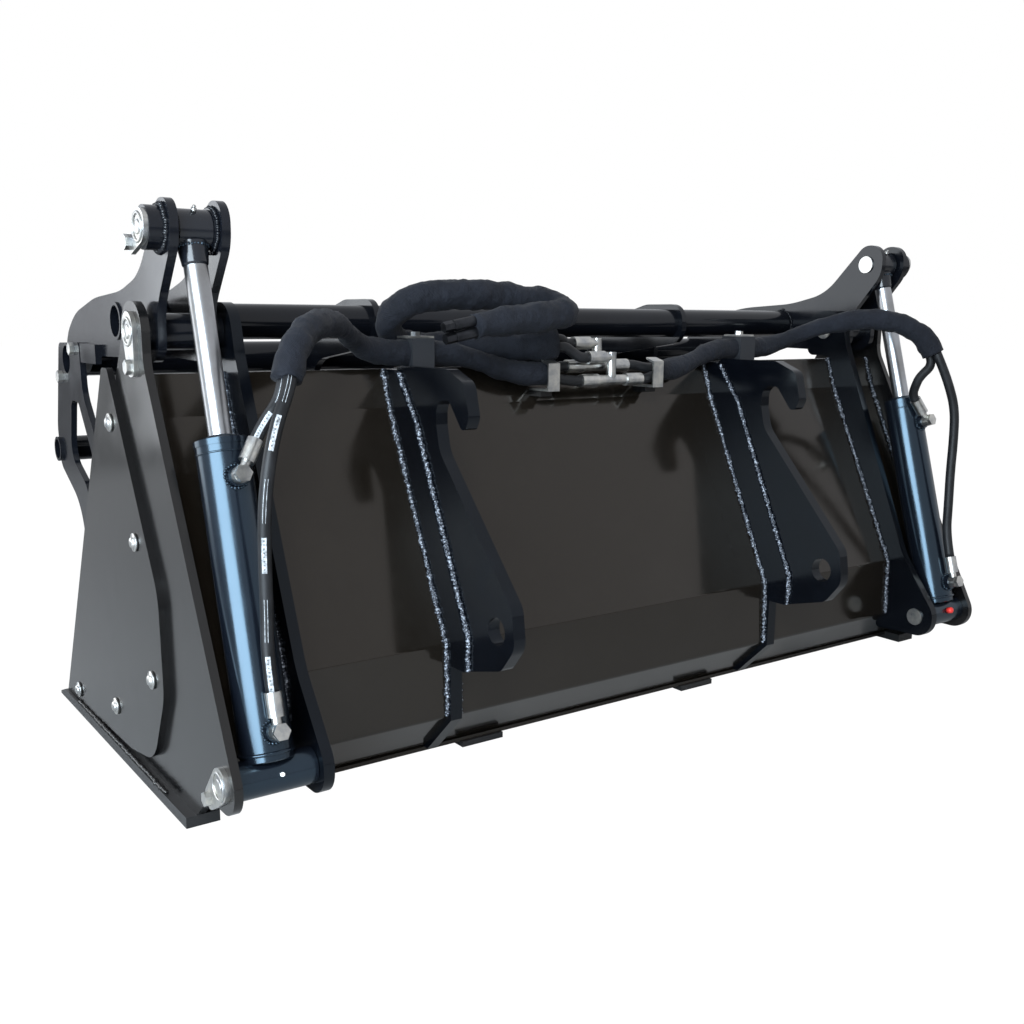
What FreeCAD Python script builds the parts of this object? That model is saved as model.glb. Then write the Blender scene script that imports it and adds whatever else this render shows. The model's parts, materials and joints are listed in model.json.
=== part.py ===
import FreeCAD, Part
import Sketcher
import math
import os

# Silage grapple for a front loader: a closed bucket with an upper jaw of curved tines.
# Frame: X across the machine, Y forward to the mouth, Z up. The floor line is Z = 0.

doc = FreeCAD.newDocument("SilageGrapple")
sheet = doc.addObject("Spreadsheet::Sheet", "Sizes")


class Size:
    """A length or angle with the sheet expression that gives it."""

    def __init__(self, value, text):
        self.value = value
        self.text = text

    def join(self, other, sign, result):
        other = as_size(other)
        return Size(result(self.value, other.value), "(%s %s %s)" % (self.text, sign, other.text))

    def __add__(self, other):
        return self.join(other, "+", lambda a, b: a + b)

    def __sub__(self, other):
        return self.join(other, "-", lambda a, b: a - b)

    def __mul__(self, other):
        return self.join(other, "*", lambda a, b: a * b)

    def __truediv__(self, other):
        return self.join(other, "/", lambda a, b: a / b)

    def __neg__(self):
        return self * -1


def as_size(value):
    return value if isinstance(value, Size) else Size(float(value), repr(float(value)))


ZERO = as_size(0)
rows = []


def dimension(alias, value):
    rows.append(alias)
    sheet.set("A%d" % len(rows), alias)
    sheet.set("B%d" % len(rows), str(value))
    sheet.setAlias("B%d" % len(rows), alias)
    return Size(float(value), "Sizes." + alias)


def root(size):
    return Size(math.sqrt(size.value), "sqrt(%s)" % size.text)


def angle_of(rise, run):
    value = math.degrees(math.atan2(rise.value, run.value))
    return Size(value, "atan2(%s; %s)" % (rise.text, run.text))


# Driving dimensions, millimetres and degrees
overall_width = dimension("overall_width", 2000)
half_width = overall_width / 2
side_thick = dimension("side_thickness", 15)
cover_thick = dimension("cover_thickness", 12)
sheet_thick = dimension("sheet_thickness", 8)
runner_width = dimension("runner_width", 60)
runner_overhang = dimension("runner_overhang", 19)
floor_height = dimension("floor_height", 20)
floor_back = dimension("floor_back", -25)
runner_back = dimension("runner_back", -70)
edge_back = dimension("edge_back", 630)
edge_front = dimension("edge_front", 769)
edge_bevel = dimension("edge_bevel", 38)
edge_tip = dimension("edge_tip_thickness", 6)

frame_y = dimension("frame_y", -238.043)
pivot_y = dimension("pivot_y", 138.6)
pivot_z = dimension("pivot_z", 831.2)
upper_y = dimension("upper_pin_y", 51)
upper_z = dimension("upper_pin_z", 999.8)
lower_y = dimension("lower_pin_y", -202)
lower_z = dimension("lower_pin_z", 122.9)
pivot_pin_r = dimension("pivot_pin_radius", 17.5)
ram_pin_r = dimension("ram_pin_radius", 15)
running_gap = dimension("running_gap", 0.05)
weld_gap = dimension("weld_gap", 0.1)
side_gap = dimension("side_gap", 0.5)

wall_top_y = dimension("wall_top_y", 122.6)
wall_top_z = dimension("wall_top_z", 758.7)
lip_bend_y = dimension("lip_bend_y", 97.5)
lip_bend_z = dimension("lip_bend_z", 684.7)
low_bend_y = dimension("low_bend_y", -107.7)
low_bend_z = dimension("low_bend_z", 253.2)
heel_y = dimension("heel_y", -112.5)
heel_z = dimension("heel_z", 110)
toe_y = dimension("toe_y", -21)

ram_x = half_width - dimension("ram_inset", 80)
arm_outer_x = half_width - dimension("arm_outer_inset", 29)
arm_inner_x = half_width - dimension("arm_inner_inset", 132)
arm_thick = dimension("arm_thickness", 15)
ear_x = half_width - dimension("ear_plate_inset", 174)
ear_thick = dimension("ear_plate_thickness", 20)
ear_r = dimension("ear_radius", 48)
hub_r = dimension("pivot_hub_radius", 52)
hub_tube_r = dimension("hub_tube_radius", 32)

hook_left_x = dimension("hook_left_x", -509)
hook_right_x = dimension("hook_right_x", 373)
hook_thick = dimension("hook_thickness", 25)
rib_offset = dimension("rib_offset", 10)
hook_slot = dimension("hook_slot_width", 52)
hook_hole_r = dimension("hook_hole_radius", 26)
hook_hole_y = dimension("hook_hole_y", -259)
hook_hole_z = dimension("hook_hole_z", 312.5)
hook_slot_y = dimension("hook_slot_centre_y", -86)
hook_slot_z = dimension("hook_slot_centre_z", 684)

main_tube_y = dimension("main_tube_y", 322)
main_tube_z = dimension("main_tube_z", 848)
main_tube_r = dimension("main_tube_radius", 35)
main_tube_half = half_width - dimension("main_tube_inset", 25)
mid_tube_y = dimension("mid_tube_y", 662)
mid_tube_z = dimension("mid_tube_z", 766)
mid_tube_r = dimension("mid_tube_radius", 35)
tine_face_x = half_width - dimension("tine_face_inset", 17)
front_tube_y = dimension("front_tube_y", 762)
front_tube_z = dimension("front_tube_z", 566)
front_tube_r = dimension("front_tube_radius", 27)
front_tube_half = half_width - dimension("front_tube_inset", 10)
tube_wall = dimension("tube_wall", 6)
tine_thick = dimension("tine_thickness", 15)
tine_pitch = dimension("tine_pitch", 222)
tine_tip_z = dimension("tine_tip_z", 42)
collar_r = dimension("collar_radius", 48)

bore_r = dimension("bore_radius", 40)
barrel_r = dimension("barrel_radius", 44.5)
rod_r = dimension("rod_radius", 20)
barrel_length = dimension("barrel_length", 545)
gland_length = dimension("gland_length", 12)
bush_r = dimension("base_bush_radius", 32)
eye_r = dimension("rod_eye_radius", 33)
eye_bore_r = dimension("rod_eye_bore_radius", 28.3)
eye_half = dimension("rod_eye_half_width", 28)
piston_gap = dimension("piston_gap", 0.1)
port_low = dimension("port_low_distance", 72)
port_high = dimension("port_high_distance", 488)
port_boss_r = dimension("port_boss_radius", 17)
port_reach = dimension("port_reach", 55)
hose_r = dimension("hose_radius", 11)
ferrule_r = dimension("ferrule_radius", 14)
sleeve_r = dimension("sleeve_radius", 22)

side_inner = half_width - side_thick
ram_dy = upper_y - lower_y
ram_dz = upper_z - lower_z
ram_length = root(ram_dy * ram_dy + ram_dz * ram_dz)
ram_tilt = -angle_of(ram_dy, ram_dz)
doc.recompute()


# Document helpers
def plane_of(body, role):
    return next(item for item in body.Origin.OriginFeatures if item.Role == role)


def place(item, x=0, y=0, z=0, tilt=None):
    """Put an object at a bound place, tilted about X if asked, in the part's frame."""
    x, y, z = as_size(x), as_size(y) + frame_y, as_size(z)
    turn = FreeCAD.Rotation(FreeCAD.Vector(1, 0, 0), tilt.value if tilt else 0)
    item.Placement = FreeCAD.Placement(FreeCAD.Vector(x.value, y.value, z.value), turn)
    for axis, size in (("x", x), ("y", y), ("z", z)):
        item.setExpression("Placement.Base." + axis, size.text)
    if tilt:
        item.setExpression("Placement.Rotation.Angle", tilt.text)


def corner_trim(before, at, after, radius):
    """Tangent points and centre of a round corner."""
    one = (before - at).normalize()
    two = (after - at).normalize()
    half = math.acos(max(-1, min(1, one.dot(two)))) / 2
    reach = radius / math.tan(half)
    bisector = (one + two).normalize()
    return at + one * reach, at + two * reach, at + bisector * (radius / math.sin(half))


def bind(sketch, constraints):
    """Add constraints and tie each value to its sheet expression."""
    first = sketch.ConstraintCount
    sketch.addConstraint([item for item, size in constraints])
    for offset, (item, size) in enumerate(constraints):
        if size is not None:
            sketch.setExpression("Constraints[%d]" % (first + offset), size.text)


def at_point(geometry, point, u, v):
    """Signed distances of a point from the sketch origin."""
    return [
        (Sketcher.Constraint("DistanceX", -1, 1, geometry, point, u.value), u),
        (Sketcher.Constraint("DistanceY", -1, 1, geometry, point, v.value), v),
    ]


def add_circle(sketch, u, v, radius):
    u, v, radius = as_size(u), as_size(v), as_size(radius)
    centre = FreeCAD.Vector(u.value, v.value, 0)
    ring = sketch.addGeometry(Part.Circle(centre, FreeCAD.Vector(0, 0, 1), radius.value), False)
    bind(sketch, at_point(ring, 3, u, v) + [(Sketcher.Constraint("Radius", ring, radius.value), radius)])


def add_outline(sketch, corners):
    """Closed outline through corners (u, v) or (u, v, radius), every number bound to the sheet."""
    corners = [tuple(as_size(number) for number in corner) for corner in corners]
    points = [FreeCAD.Vector(corner[0].value, corner[1].value, 0) for corner in corners]
    count = len(points)
    leave, arrive, centres = [], [], []
    for index, corner in enumerate(corners):
        start = end = points[index]
        centre = None
        if len(corner) == 3:
            trim = (points[index - 1], points[index], points[(index + 1) % count], corner[2].value)
            start, end, centre = corner_trim(*trim)
        arrive.append(start)
        leave.append(end)
        centres.append(centre)
    lines = [
        sketch.addGeometry(Part.LineSegment(leave[index], arrive[(index + 1) % count]), False)
        for index in range(count)
    ]
    constraints = []
    for index, corner in enumerate(corners):
        into, out = lines[index - 1], lines[index]
        if centres[index] is None:
            constraints.append((Sketcher.Constraint("Coincident", into, 2, out, 1), None))
            constraints += at_point(out, 1, corner[0], corner[1])
            continue
        middle = centres[index]
        from_angle = math.atan2(arrive[index].y - middle.y, arrive[index].x - middle.x)
        to_angle = math.atan2(leave[index].y - middle.y, leave[index].x - middle.x)
        turn = (to_angle - from_angle) % (2 * math.pi)
        forward = turn < math.pi
        if not forward:
            from_angle, to_angle = to_angle, from_angle
        ring = Part.Circle(middle, FreeCAD.Vector(0, 0, 1), corner[2].value)
        arc = sketch.addGeometry(Part.ArcOfCircle(ring, from_angle, to_angle), False)
        mark = sketch.addGeometry(Part.Point(points[index]), True)
        ends = (1, 2) if forward else (2, 1)
        constraints += [
            (Sketcher.Constraint("Tangent", into, 2, arc, ends[0]), None),
            (Sketcher.Constraint("Tangent", arc, ends[1], out, 1), None),
            (Sketcher.Constraint("Radius", arc, corner[2].value), corner[2]),
            (Sketcher.Constraint("PointOnObject", mark, 1, into), None),
            (Sketcher.Constraint("PointOnObject", mark, 1, out), None),
        ]
        constraints += at_point(mark, 1, corner[0], corner[1])
    bind(sketch, constraints)


def new_sketch(body, role, outlines, circles):
    sketch = body.newObject("Sketcher::SketchObject", body.Name + "_sketch")
    sketch.AttachmentSupport = [(plane_of(body, role), "")]
    sketch.MapMode = "FlatFace"
    for corners in outlines:
        add_outline(sketch, corners)
    for ring in circles:
        add_circle(sketch, *ring)
    return sketch


def plate(label, start_x, thickness, outlines, circles=(), notches=()):
    """A plate square to X: profile in (Y, Z), padded along +X from its left face."""
    body = doc.addObject("PartDesign::Body", label)
    sketch = new_sketch(body, "YZ_Plane", outlines, circles)
    pad = body.newObject("PartDesign::Pad", label + "_pad")
    pad.Profile = sketch
    pad.Length = thickness.value
    pad.setExpression("Length", thickness.text)
    if notches:
        doc.recompute()
        cut = new_sketch(body, "YZ_Plane", (), notches)
        pocket = body.newObject("PartDesign::Pocket", label + "_notch")
        pocket.Profile = cut
        pocket.Type = "ThroughAll"
        pocket.Midplane = True
    place(body, start_x)
    return finish(body, label)


def turned(label, corners, x, y, z, tilt):
    """A piece turned about its own Z: profile in (radius, height)."""
    body = doc.addObject("PartDesign::Body", label)
    sketch = new_sketch(body, "XZ_Plane", [corners], ())
    revolution = body.newObject("PartDesign::Revolution", label + "_turn")
    revolution.Profile = sketch
    revolution.ReferenceAxis = (sketch, ["V_Axis"])
    revolution.Angle = 360
    place(body, x, y, z, tilt)
    return finish(body, label)


def finish(item, label):
    item.Label = label
    return item


def bind_number(item, name, size):
    size = as_size(size)
    setattr(item, name, size.value)
    item.setExpression(name, size.text)


def rod_x(label, x, y, z, radius, length, inner=None):
    """A round bar along +X from its left end, or a tube if it has an inner radius."""
    shapes = []
    for suffix, size in (("_outside", radius), ("_inside", inner)):
        if size is None:
            continue
        shape = doc.addObject("Part::Cylinder", label + suffix)
        bind_number(shape, "Radius", size)
        bind_number(shape, "Height", length)
        place_along_x(shape, x, y, z)
        shapes.append(shape)
    if inner is None:
        return finish(shapes[0], label)
    return cut(label, shapes[0], shapes[1])


def place_along_x(item, x, y, z):
    x, y, z = as_size(x), as_size(y) + frame_y, as_size(z)
    turn = FreeCAD.Rotation(FreeCAD.Vector(0, 1, 0), 90)
    item.Placement = FreeCAD.Placement(FreeCAD.Vector(x.value, y.value, z.value), turn)
    for axis, size in (("x", x), ("y", y), ("z", z)):
        item.setExpression("Placement.Base." + axis, size.text)


def cut(label, base, tool):
    item = doc.addObject("Part::Cut", label)
    item.Base = base
    item.Tool = tool
    return finish(item, label)


def fuse(label, items):
    item = doc.addObject("Part::MultiFuse", label)
    item.Shapes = items
    item.Refine = True
    return finish(item, label)


def gather(label, items):
    item = doc.addObject("Part::Compound", label)
    item.Links = items
    return finish(item, label)


def block(label, x, y, z, length, width, height):
    item = doc.addObject("Part::Box", label)
    for name, size in (("Length", length), ("Width", width), ("Height", height)):
        bind_number(item, name, size)
    place(item, x, y, z)
    return finish(item, label)


nodes = []


def keep(item):
    nodes.append(item)
    return item


SIDES = (("left", -1), ("right", 1))


def outward(side, inner_face, thickness):
    """Left face of a plate whose inner face is that far from the middle."""
    return inner_face if side > 0 else -(inner_face + thickness)


# Bucket: folded back wall, floor, runners and cutting edge
def wall_line(inset):
    """Outer line of the folded wall, from the top edge down to the floor, moved inward."""
    outer = [
        (wall_top_y, wall_top_z),
        (lip_bend_y, lip_bend_z),
        (low_bend_y, low_bend_z),
        (heel_y, heel_z),
        (toe_y, floor_height),
    ]
    return [(y + inset, z) for y, z in outer]


heel_inset = sheet_thick * 1.4
wall_inside = wall_line(sheet_thick * 1.08)
wall_inside[3] = (heel_y + sheet_thick, heel_z + sheet_thick * 0.4)
wall_inside[4] = (toe_y + heel_inset, floor_height)
bend_r = dimension("bend_radius", 12)
bends = (None, bend_r, bend_r, bend_r, None)
inner_bends = (None, bend_r + sheet_thick, bend_r, bend_r, None)


def with_radii(points, radii):
    return [point if radius is None else point + (radius,) for point, radius in zip(points, radii)]


wall_outline = with_radii(wall_line(0), bends) + list(reversed(with_radii(wall_inside, inner_bends)))
keep(plate("back_wall", -side_inner, side_inner * 2, [wall_outline]))

runner_inner = half_width + runner_overhang - runner_width
floor_corners = [
    (floor_back, floor_height - sheet_thick),
    (edge_back, floor_height - sheet_thick),
    (edge_back, floor_height),
    (floor_back, floor_height),
]
keep(plate("floor_plate", -runner_inner, runner_inner * 2, [floor_corners]))
for name, side in SIDES:
    start = outward(side, runner_inner, runner_width)
    size = (runner_width, edge_back - runner_back, floor_height)
    keep(block("runner_" + name, start, runner_back, 0, *size))
edge_corners = [
    (edge_back, 0),
    (edge_front, 0),
    (edge_front, edge_tip),
    (edge_front - edge_bevel, floor_height),
    (edge_back, floor_height),
]
edge_half = half_width + runner_overhang
keep(plate("cutting_edge", -edge_half, edge_half * 2, [edge_corners]))

foot_width = dimension("foot_width", 100)
foot_depth = dimension("foot_depth", 90)
foot_back = dimension("foot_back", -30)
foot_xs = (dimension("foot_left_x", -431), dimension("foot_right_x", 183))
foot_height = floor_height - sheet_thick
feet = [
    block("foot_%d" % index, x, foot_back, 0, foot_width, foot_depth, foot_height)
    for index, x in enumerate(foot_xs)
]
keep(gather("skid_feet", feet))

# Side plates: a round head at the jaw pivot, an ear for the lower ram pin at the back
side_outline = [
    (pivot_y - hub_r, pivot_z + hub_r, hub_r - 1),
    (pivot_y + hub_r, pivot_z + hub_r, hub_r - 1),
    (pivot_y + hub_r + 10, pivot_z - 10, 60),
    (edge_front - edge_bevel, floor_height),
    (runner_back, floor_height),
    (lower_y + ear_r + 20, lower_z - ear_r, 40),
    (lower_y - ear_r, lower_z - ear_r, ear_r - 2),
    (lower_y - ear_r, lower_z + 10, ear_r),
    (pivot_y - hub_r, pivot_z - 55, 80),
]
for name, side in SIDES:
    start = outward(side, side_inner, side_thick)
    holes = [
        (pivot_y, pivot_z, pivot_pin_r + running_gap),
        (lower_y, lower_z, ram_pin_r + running_gap),
    ]
    keep(plate("side_plate_" + name, start, side_thick, [side_outline], holes))

# Bolted side covers with a rounded lower back corner
cover_outline = [
    (264, 764, 10),
    (298, 764, 14),
    (edge_front - edge_bevel - 2, floor_height),
    (250, 36, 60),
    (110, 60, 90),
    (36, 200, 90),
    (40, 385, 120),
]
bolt_r = dimension("cover_bolt_radius", 8)
bolt_places = ((259, 666), (150, 461), (94, 219), (334, 98), (621, 50))
for name, side in SIDES:
    start = outward(side, half_width, cover_thick)
    holes = [(y, z, bolt_r + weld_gap) for y, z in bolt_places]
    keep(plate("side_cover_" + name, start, cover_thick, [cover_outline], holes))
head_r = dimension("cover_bolt_head_radius", 17)
head_height = dimension("cover_bolt_head_height", 8)
head_top_r = dimension("cover_bolt_head_top_radius", 10)


def cup_bolt(label, side, y, z):
    """A cup head on the cover's outside with its shank through the cover."""
    face = half_width + cover_thick
    shank = rod_x(label + "_shank", outward(side, half_width, cover_thick), y, z, bolt_r, cover_thick)
    head = doc.addObject("Part::Cone", label + "_head")
    big, small = (head_r, head_top_r) if side > 0 else (head_top_r, head_r)
    bind_number(head, "Radius1", big)
    bind_number(head, "Radius2", small)
    bind_number(head, "Height", head_height)
    place_along_x(head, outward(side, face, head_height), y, z)
    return fuse(label, [shank, head])


cover_bolts = [
    cup_bolt("cover_bolt_%s_%d" % (name, index), side, y, z)
    for name, side in SIDES
    for index, (y, z) in enumerate(bolt_places)
]
keep(gather("cover_bolts", cover_bolts))

# Ear plates follow the wall from the jaw pivot down to the lower ram pin
ear_outline = [
    (pivot_y - hub_r, pivot_z + hub_r, hub_r - 1),
    (pivot_y + hub_r, pivot_z + hub_r, hub_r - 1),
    (pivot_y + hub_r, wall_top_z + 8, 20),
    (wall_top_y, wall_top_z + 8),
    (wall_top_y, wall_top_z),
    (lip_bend_y, lip_bend_z),
    (low_bend_y, low_bend_z),
    (heel_y, heel_z),
    (heel_y + 40, heel_z - 40, 10),
    (lower_y + ear_r, lower_z - ear_r, ear_r - 6),
    (lower_y - ear_r, lower_z - ear_r, ear_r - 2),
    (lower_y - ear_r, lower_z + 20, 50),
    (lower_y + 50, lower_z + 150, 200),
    (pivot_y - hub_r - 22, pivot_z - 40, 60),
]
for name, side in SIDES:
    start = outward(side, ear_x, ear_thick)
    holes = [
        (pivot_y, pivot_z, pivot_pin_r + running_gap),
        (lower_y, lower_z, ram_pin_r + running_gap),
    ]
    keep(plate("ear_plate_" + name, start, ear_thick, [ear_outline], holes))

# Coupling: a rib down the wall and a hook plate butt-welded behind it
rib_foot = dimension("rib_foot_depth", 12)
rib_low_y = dimension("rib_low_y", -170)
rib_low_z = dimension("rib_low_z", 282)
rib_high_y = dimension("rib_high_y", 11)
rib_high_z = dimension("rib_high_z", 666)
rib_top_y = dimension("rib_top_y", 79)
rib_base_z = dimension("rib_base_z", 214)
rib_outline = [
    (wall_top_y, wall_top_z),
    (lip_bend_y, lip_bend_z),
    (low_bend_y, low_bend_z),
    (heel_y, heel_z),
    (toe_y, floor_height),
    (toe_y - rib_foot * 1.4, floor_height),
    (heel_y - rib_foot, heel_z - rib_foot * 0.4),
    (heel_y - rib_foot, rib_base_z),
    (rib_low_y, rib_base_z),
    (rib_low_y, rib_low_z),
    (rib_high_y, rib_high_z),
    (rib_top_y, wall_top_z),
]
hook_outline = [
    (rib_top_y, wall_top_z),
    (rib_high_y, rib_high_z),
    (rib_low_y, rib_low_z),
    (rib_low_y, rib_base_z),
    (hook_hole_y - 15, hook_hole_z - 70, 30),
    (hook_hole_y - 56, hook_hole_z - 20, 40),
    (hook_hole_y - 46, hook_hole_z + 50, 40),
    (hook_slot_y + 15, hook_slot_z - 70, 60),
    (hook_slot_y + hook_slot / 2, hook_slot_z - 22, 20),
    (hook_slot_y + hook_slot / 2, hook_slot_z + hook_slot / 2, hook_slot / 2 - 0.5),
    (hook_slot_y - hook_slot / 2 + 8, hook_slot_z + hook_slot / 2, hook_slot / 2 - 9),
    (hook_slot_y - hook_slot / 2 - 40, hook_slot_z - 32, 12),
    (hook_slot_y - hook_slot / 2 - 58, hook_slot_z - 2, 25),
    (hook_slot_y - hook_slot / 2 - 42, hook_slot_z + 60, 25),
    (hook_slot_y - 10, wall_top_z + 8, 15),
    (rib_top_y - 8, wall_top_z + 8, 6),
]
for name, x in (("left", hook_left_x), ("right", hook_right_x)):
    keep(plate("hook_rib_" + name, x - rib_offset, hook_thick, [rib_outline]))
    hole = [(hook_hole_y, hook_hole_z, hook_hole_r)]
    keep(plate("hook_plate_" + name, x, hook_thick, [hook_outline], hole))

# Jaw: three cross tubes carried by an outer and an inner arm at each end
tube_specs = (
    ("main_tube", main_tube_y, main_tube_z, main_tube_r, main_tube_half),
    ("middle_tube", mid_tube_y, mid_tube_z, mid_tube_r, tine_face_x),
    ("front_tube", front_tube_y, front_tube_z, front_tube_r, front_tube_half),
)
for label, y, z, radius, half in tube_specs:
    keep(rod_x(label, -half, y, z, radius, half * 2, radius - tube_wall))

arm_ear_r = dimension("arm_ear_radius", 48)
arm_outline = [
    (upper_y - arm_ear_r, upper_z + arm_ear_r, 38),
    (upper_y + 10, upper_z + arm_ear_r, 38),
    (upper_y + 126, upper_z - 72, 150),
    (main_tube_y - 30, main_tube_z + 54, 400),
    (main_tube_y + 140, main_tube_z + 44, 500),
    (mid_tube_y - 45, mid_tube_z + 96, 230),
    (mid_tube_y + 38, mid_tube_z + 44, 85),
    (mid_tube_y + 44, mid_tube_z - 56, 34),
    (mid_tube_y - 70, mid_tube_z - 30, 120),
    (mid_tube_y - 130, mid_tube_z + 12, 110),
    (main_tube_y - 20, main_tube_z - 66, 600),
    (pivot_y + 15, pivot_z - hub_r, 600),
    (pivot_y - hub_r + 2, pivot_z - hub_r, hub_r - 14),
    (pivot_y - hub_r + 2, pivot_z + 40, 95),
    (upper_y - arm_ear_r, upper_z - 26, 70),
]
pin_clear = ram_pin_r + running_gap
arm_holes = [
    (upper_y, upper_z, pin_clear),
    (pivot_y, pivot_z, hub_tube_r + weld_gap),
    (main_tube_y, main_tube_z, main_tube_r + weld_gap),
    (mid_tube_y, mid_tube_z, mid_tube_r + weld_gap),
]
for name, side in SIDES:
    start = outward(side, arm_outer_x - arm_thick, arm_thick)
    keep(plate("arm_outer_" + name, start, arm_thick, [arm_outline], arm_holes))
    start = outward(side, arm_inner_x, arm_thick)
    keep(plate("arm_inner_" + name, start, arm_thick, [arm_outline], arm_holes))

# Bosses on the arms: hub tubes on the jaw pivot and rings beside each rod eye
hub_start = ear_x + ear_thick + side_gap
hub_length = side_inner - side_gap - hub_start
boss_r = dimension("arm_boss_radius", 36)
eye_gap = dimension("eye_side_gap", 1)
jaw_hubs, arm_bosses = [], []
for name, side in SIDES:
    start = outward(side, hub_start, hub_length)
    hub_bore = pivot_pin_r + running_gap
    jaw_hubs.append(rod_x("jaw_hub_" + name, start, pivot_y, pivot_z, hub_tube_r, hub_length, hub_bore))
    inner_length = ram_x - eye_half - eye_gap - arm_inner_x - arm_thick
    inner_start = outward(side, arm_inner_x + arm_thick, inner_length)
    outer_length = half_width - arm_outer_x
    outer_start = outward(side, arm_outer_x, outer_length)
    arm_bosses += [
        rod_x("boss_in_" + name, inner_start, upper_y, upper_z, boss_r, inner_length, pin_clear),
        rod_x("boss_out_" + name, outer_start, upper_y, upper_z, boss_r, outer_length, pin_clear),
    ]
keep(gather("jaw_hubs", jaw_hubs))
keep(gather("arm_bosses", arm_bosses))

# Tines: end tines with a curved slot, long tines from the main tube, short ones between
tine_front = [
    (front_tube_y + 14, front_tube_z + 50, 60),
    (front_tube_y + 6, front_tube_z - 34, 40),
    (front_tube_y - 152, front_tube_z - 111, 120),
    (front_tube_y - 174, tine_tip_z + 198, 260),
    (front_tube_y - 150, tine_tip_z),
    (front_tube_y - 168, tine_tip_z),
    (front_tube_y - 270, tine_tip_z + 198, 260),
]
end_tine_outline = [
    (mid_tube_y - 106, mid_tube_z + 38, 16),
    (mid_tube_y + 56, mid_tube_z + 34, 20),
] + tine_front + [
    (front_tube_y - 322, front_tube_z - 126, 160),
    (front_tube_y - 300, front_tube_z + 34, 120),
    (mid_tube_y - 110, mid_tube_z - 66, 80),
]
slot_outline = [
    (mid_tube_y - 74, mid_tube_z - 86, 20),
    (mid_tube_y - 20, mid_tube_z - 84, 22),
    (front_tube_y - 86, front_tube_z - 6, 50),
    (front_tube_y - 202, front_tube_z - 61, 60),
    (front_tube_y - 228, front_tube_z - 136, 14),
    (front_tube_y - 264, front_tube_z - 136, 14),
    (front_tube_y - 262, front_tube_z + 4, 80),
]
tube_seat = (front_tube_y, front_tube_z, front_tube_r + weld_gap)
mid_hole = (mid_tube_y, mid_tube_z, mid_tube_r + weld_gap)
tine_bolt_r = dimension("tine_bolt_radius", 8)
tine_bolt_places = ((mid_tube_y - 62, mid_tube_z + 24), (mid_tube_y + 46, mid_tube_z - 38))
tine_holes = [(y, z, tine_bolt_r + weld_gap) for y, z in tine_bolt_places]
for name, side in SIDES:
    start = outward(side, arm_outer_x, tine_face_x - arm_outer_x)
    rings = [mid_hole] + tine_holes
    keep(
        plate(
            "end_tine_" + name,
            start,
            tine_face_x - arm_outer_x,
            [end_tine_outline, slot_outline],
            rings,
            [tube_seat],
        )
    )

inner_tine_back = [
    (front_tube_y - 292, front_tube_z - 96, 200),
    (front_tube_y - 142, front_tube_z + 4, 90),
]
long_tine_outline = [
    (main_tube_y - collar_r, main_tube_z + collar_r, collar_r - 4),
    (main_tube_y + 90, main_tube_z + collar_r, 90),
    (mid_tube_y - 20, mid_tube_z + 70, 90),
    (mid_tube_y + 56, mid_tube_z + 34, 20),
] + tine_front + inner_tine_back + [
    (mid_tube_y - 62, mid_tube_z - 66, 60),
    (mid_tube_y - 110, mid_tube_z - 4, 80),
    (main_tube_y - collar_r, main_tube_z - collar_r, collar_r - 4),
]
main_hole = (main_tube_y, main_tube_z, main_tube_r + weld_gap)
short_tine_outline = [
    (mid_tube_y - 48, mid_tube_z + 46, 30),
    (mid_tube_y + 50, mid_tube_z + 46, 30),
] + tine_front + inner_tine_back + [
    (mid_tube_y - 48, mid_tube_z - 60, 40),
]
for name, step in (("left", -2), ("centre", 0), ("right", 2)):
    start = tine_pitch * step - tine_thick / 2
    holes = [main_hole, mid_hole]
    keep(plate("long_tine_" + name, start, tine_thick, [long_tine_outline], holes, [tube_seat]))
short_tines = [
    plate(
        "short_tine_%d" % index,
        tine_pitch * step - tine_thick / 2,
        tine_thick,
        [short_tine_outline],
        [mid_hole],
        [tube_seat],
    )
    for index, step in enumerate((-3, -1, 1, 3))
]
keep(gather("short_tines", short_tines))

hex_across = dimension("hex_head_radius", 13)
hex_height = dimension("hex_head_height", 10)


def hex_head(label, side, face, y, z, radius=hex_across, height=hex_height):
    """A hexagon head standing outward from a face that far from the middle."""
    head = doc.addObject("Part::Prism", label)
    head.Polygon = 6
    bind_number(head, "Circumradius", radius)
    bind_number(head, "Height", height)
    place_along_x(head, outward(side, face, height), y, z)
    return head


def hex_bolt(label, side, inner, outer, y, z, radius):
    """A hex head on the outer face with a shank reaching in to the inner face."""
    shank = rod_x(label + "_shank", outward(side, inner, outer - inner), y, z, radius, outer - inner)
    return fuse(label, [shank, hex_head(label + "_head", side, outer, y, z)])


tine_bolts = [
    hex_bolt("tine_bolt_%s_%d" % (name, index), side, arm_outer_x, tine_face_x, y, z, tine_bolt_r)
    for name, side in SIDES
    for index, (y, z) in enumerate(tine_bolt_places)
]
stop_length = dimension("tine_stop_length", 110)
stop_height = dimension("tine_stop_height", 38)
stop_y = mid_tube_y - 106 - stop_length - 8
stops = [
    block(
        "tine_stop_" + name,
        outward(side, arm_outer_x, tine_face_x - arm_outer_x),
        stop_y,
        mid_tube_z - 2,
        tine_face_x - arm_outer_x,
        stop_length,
        stop_height,
    )
    for name, side in SIDES
]
keep(gather("tine_stops", stops))

# Pins with a welded flag plate that one bolt holds against turning
flag_thick = dimension("flag_thickness", 8)
flag_r = dimension("flag_radius", 35)
flag_end_r = dimension("flag_end_radius", 17)
pin_head_r = dimension("pin_head_radius", 21)
pin_proud = dimension("pin_proud_length", 4)


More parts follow.
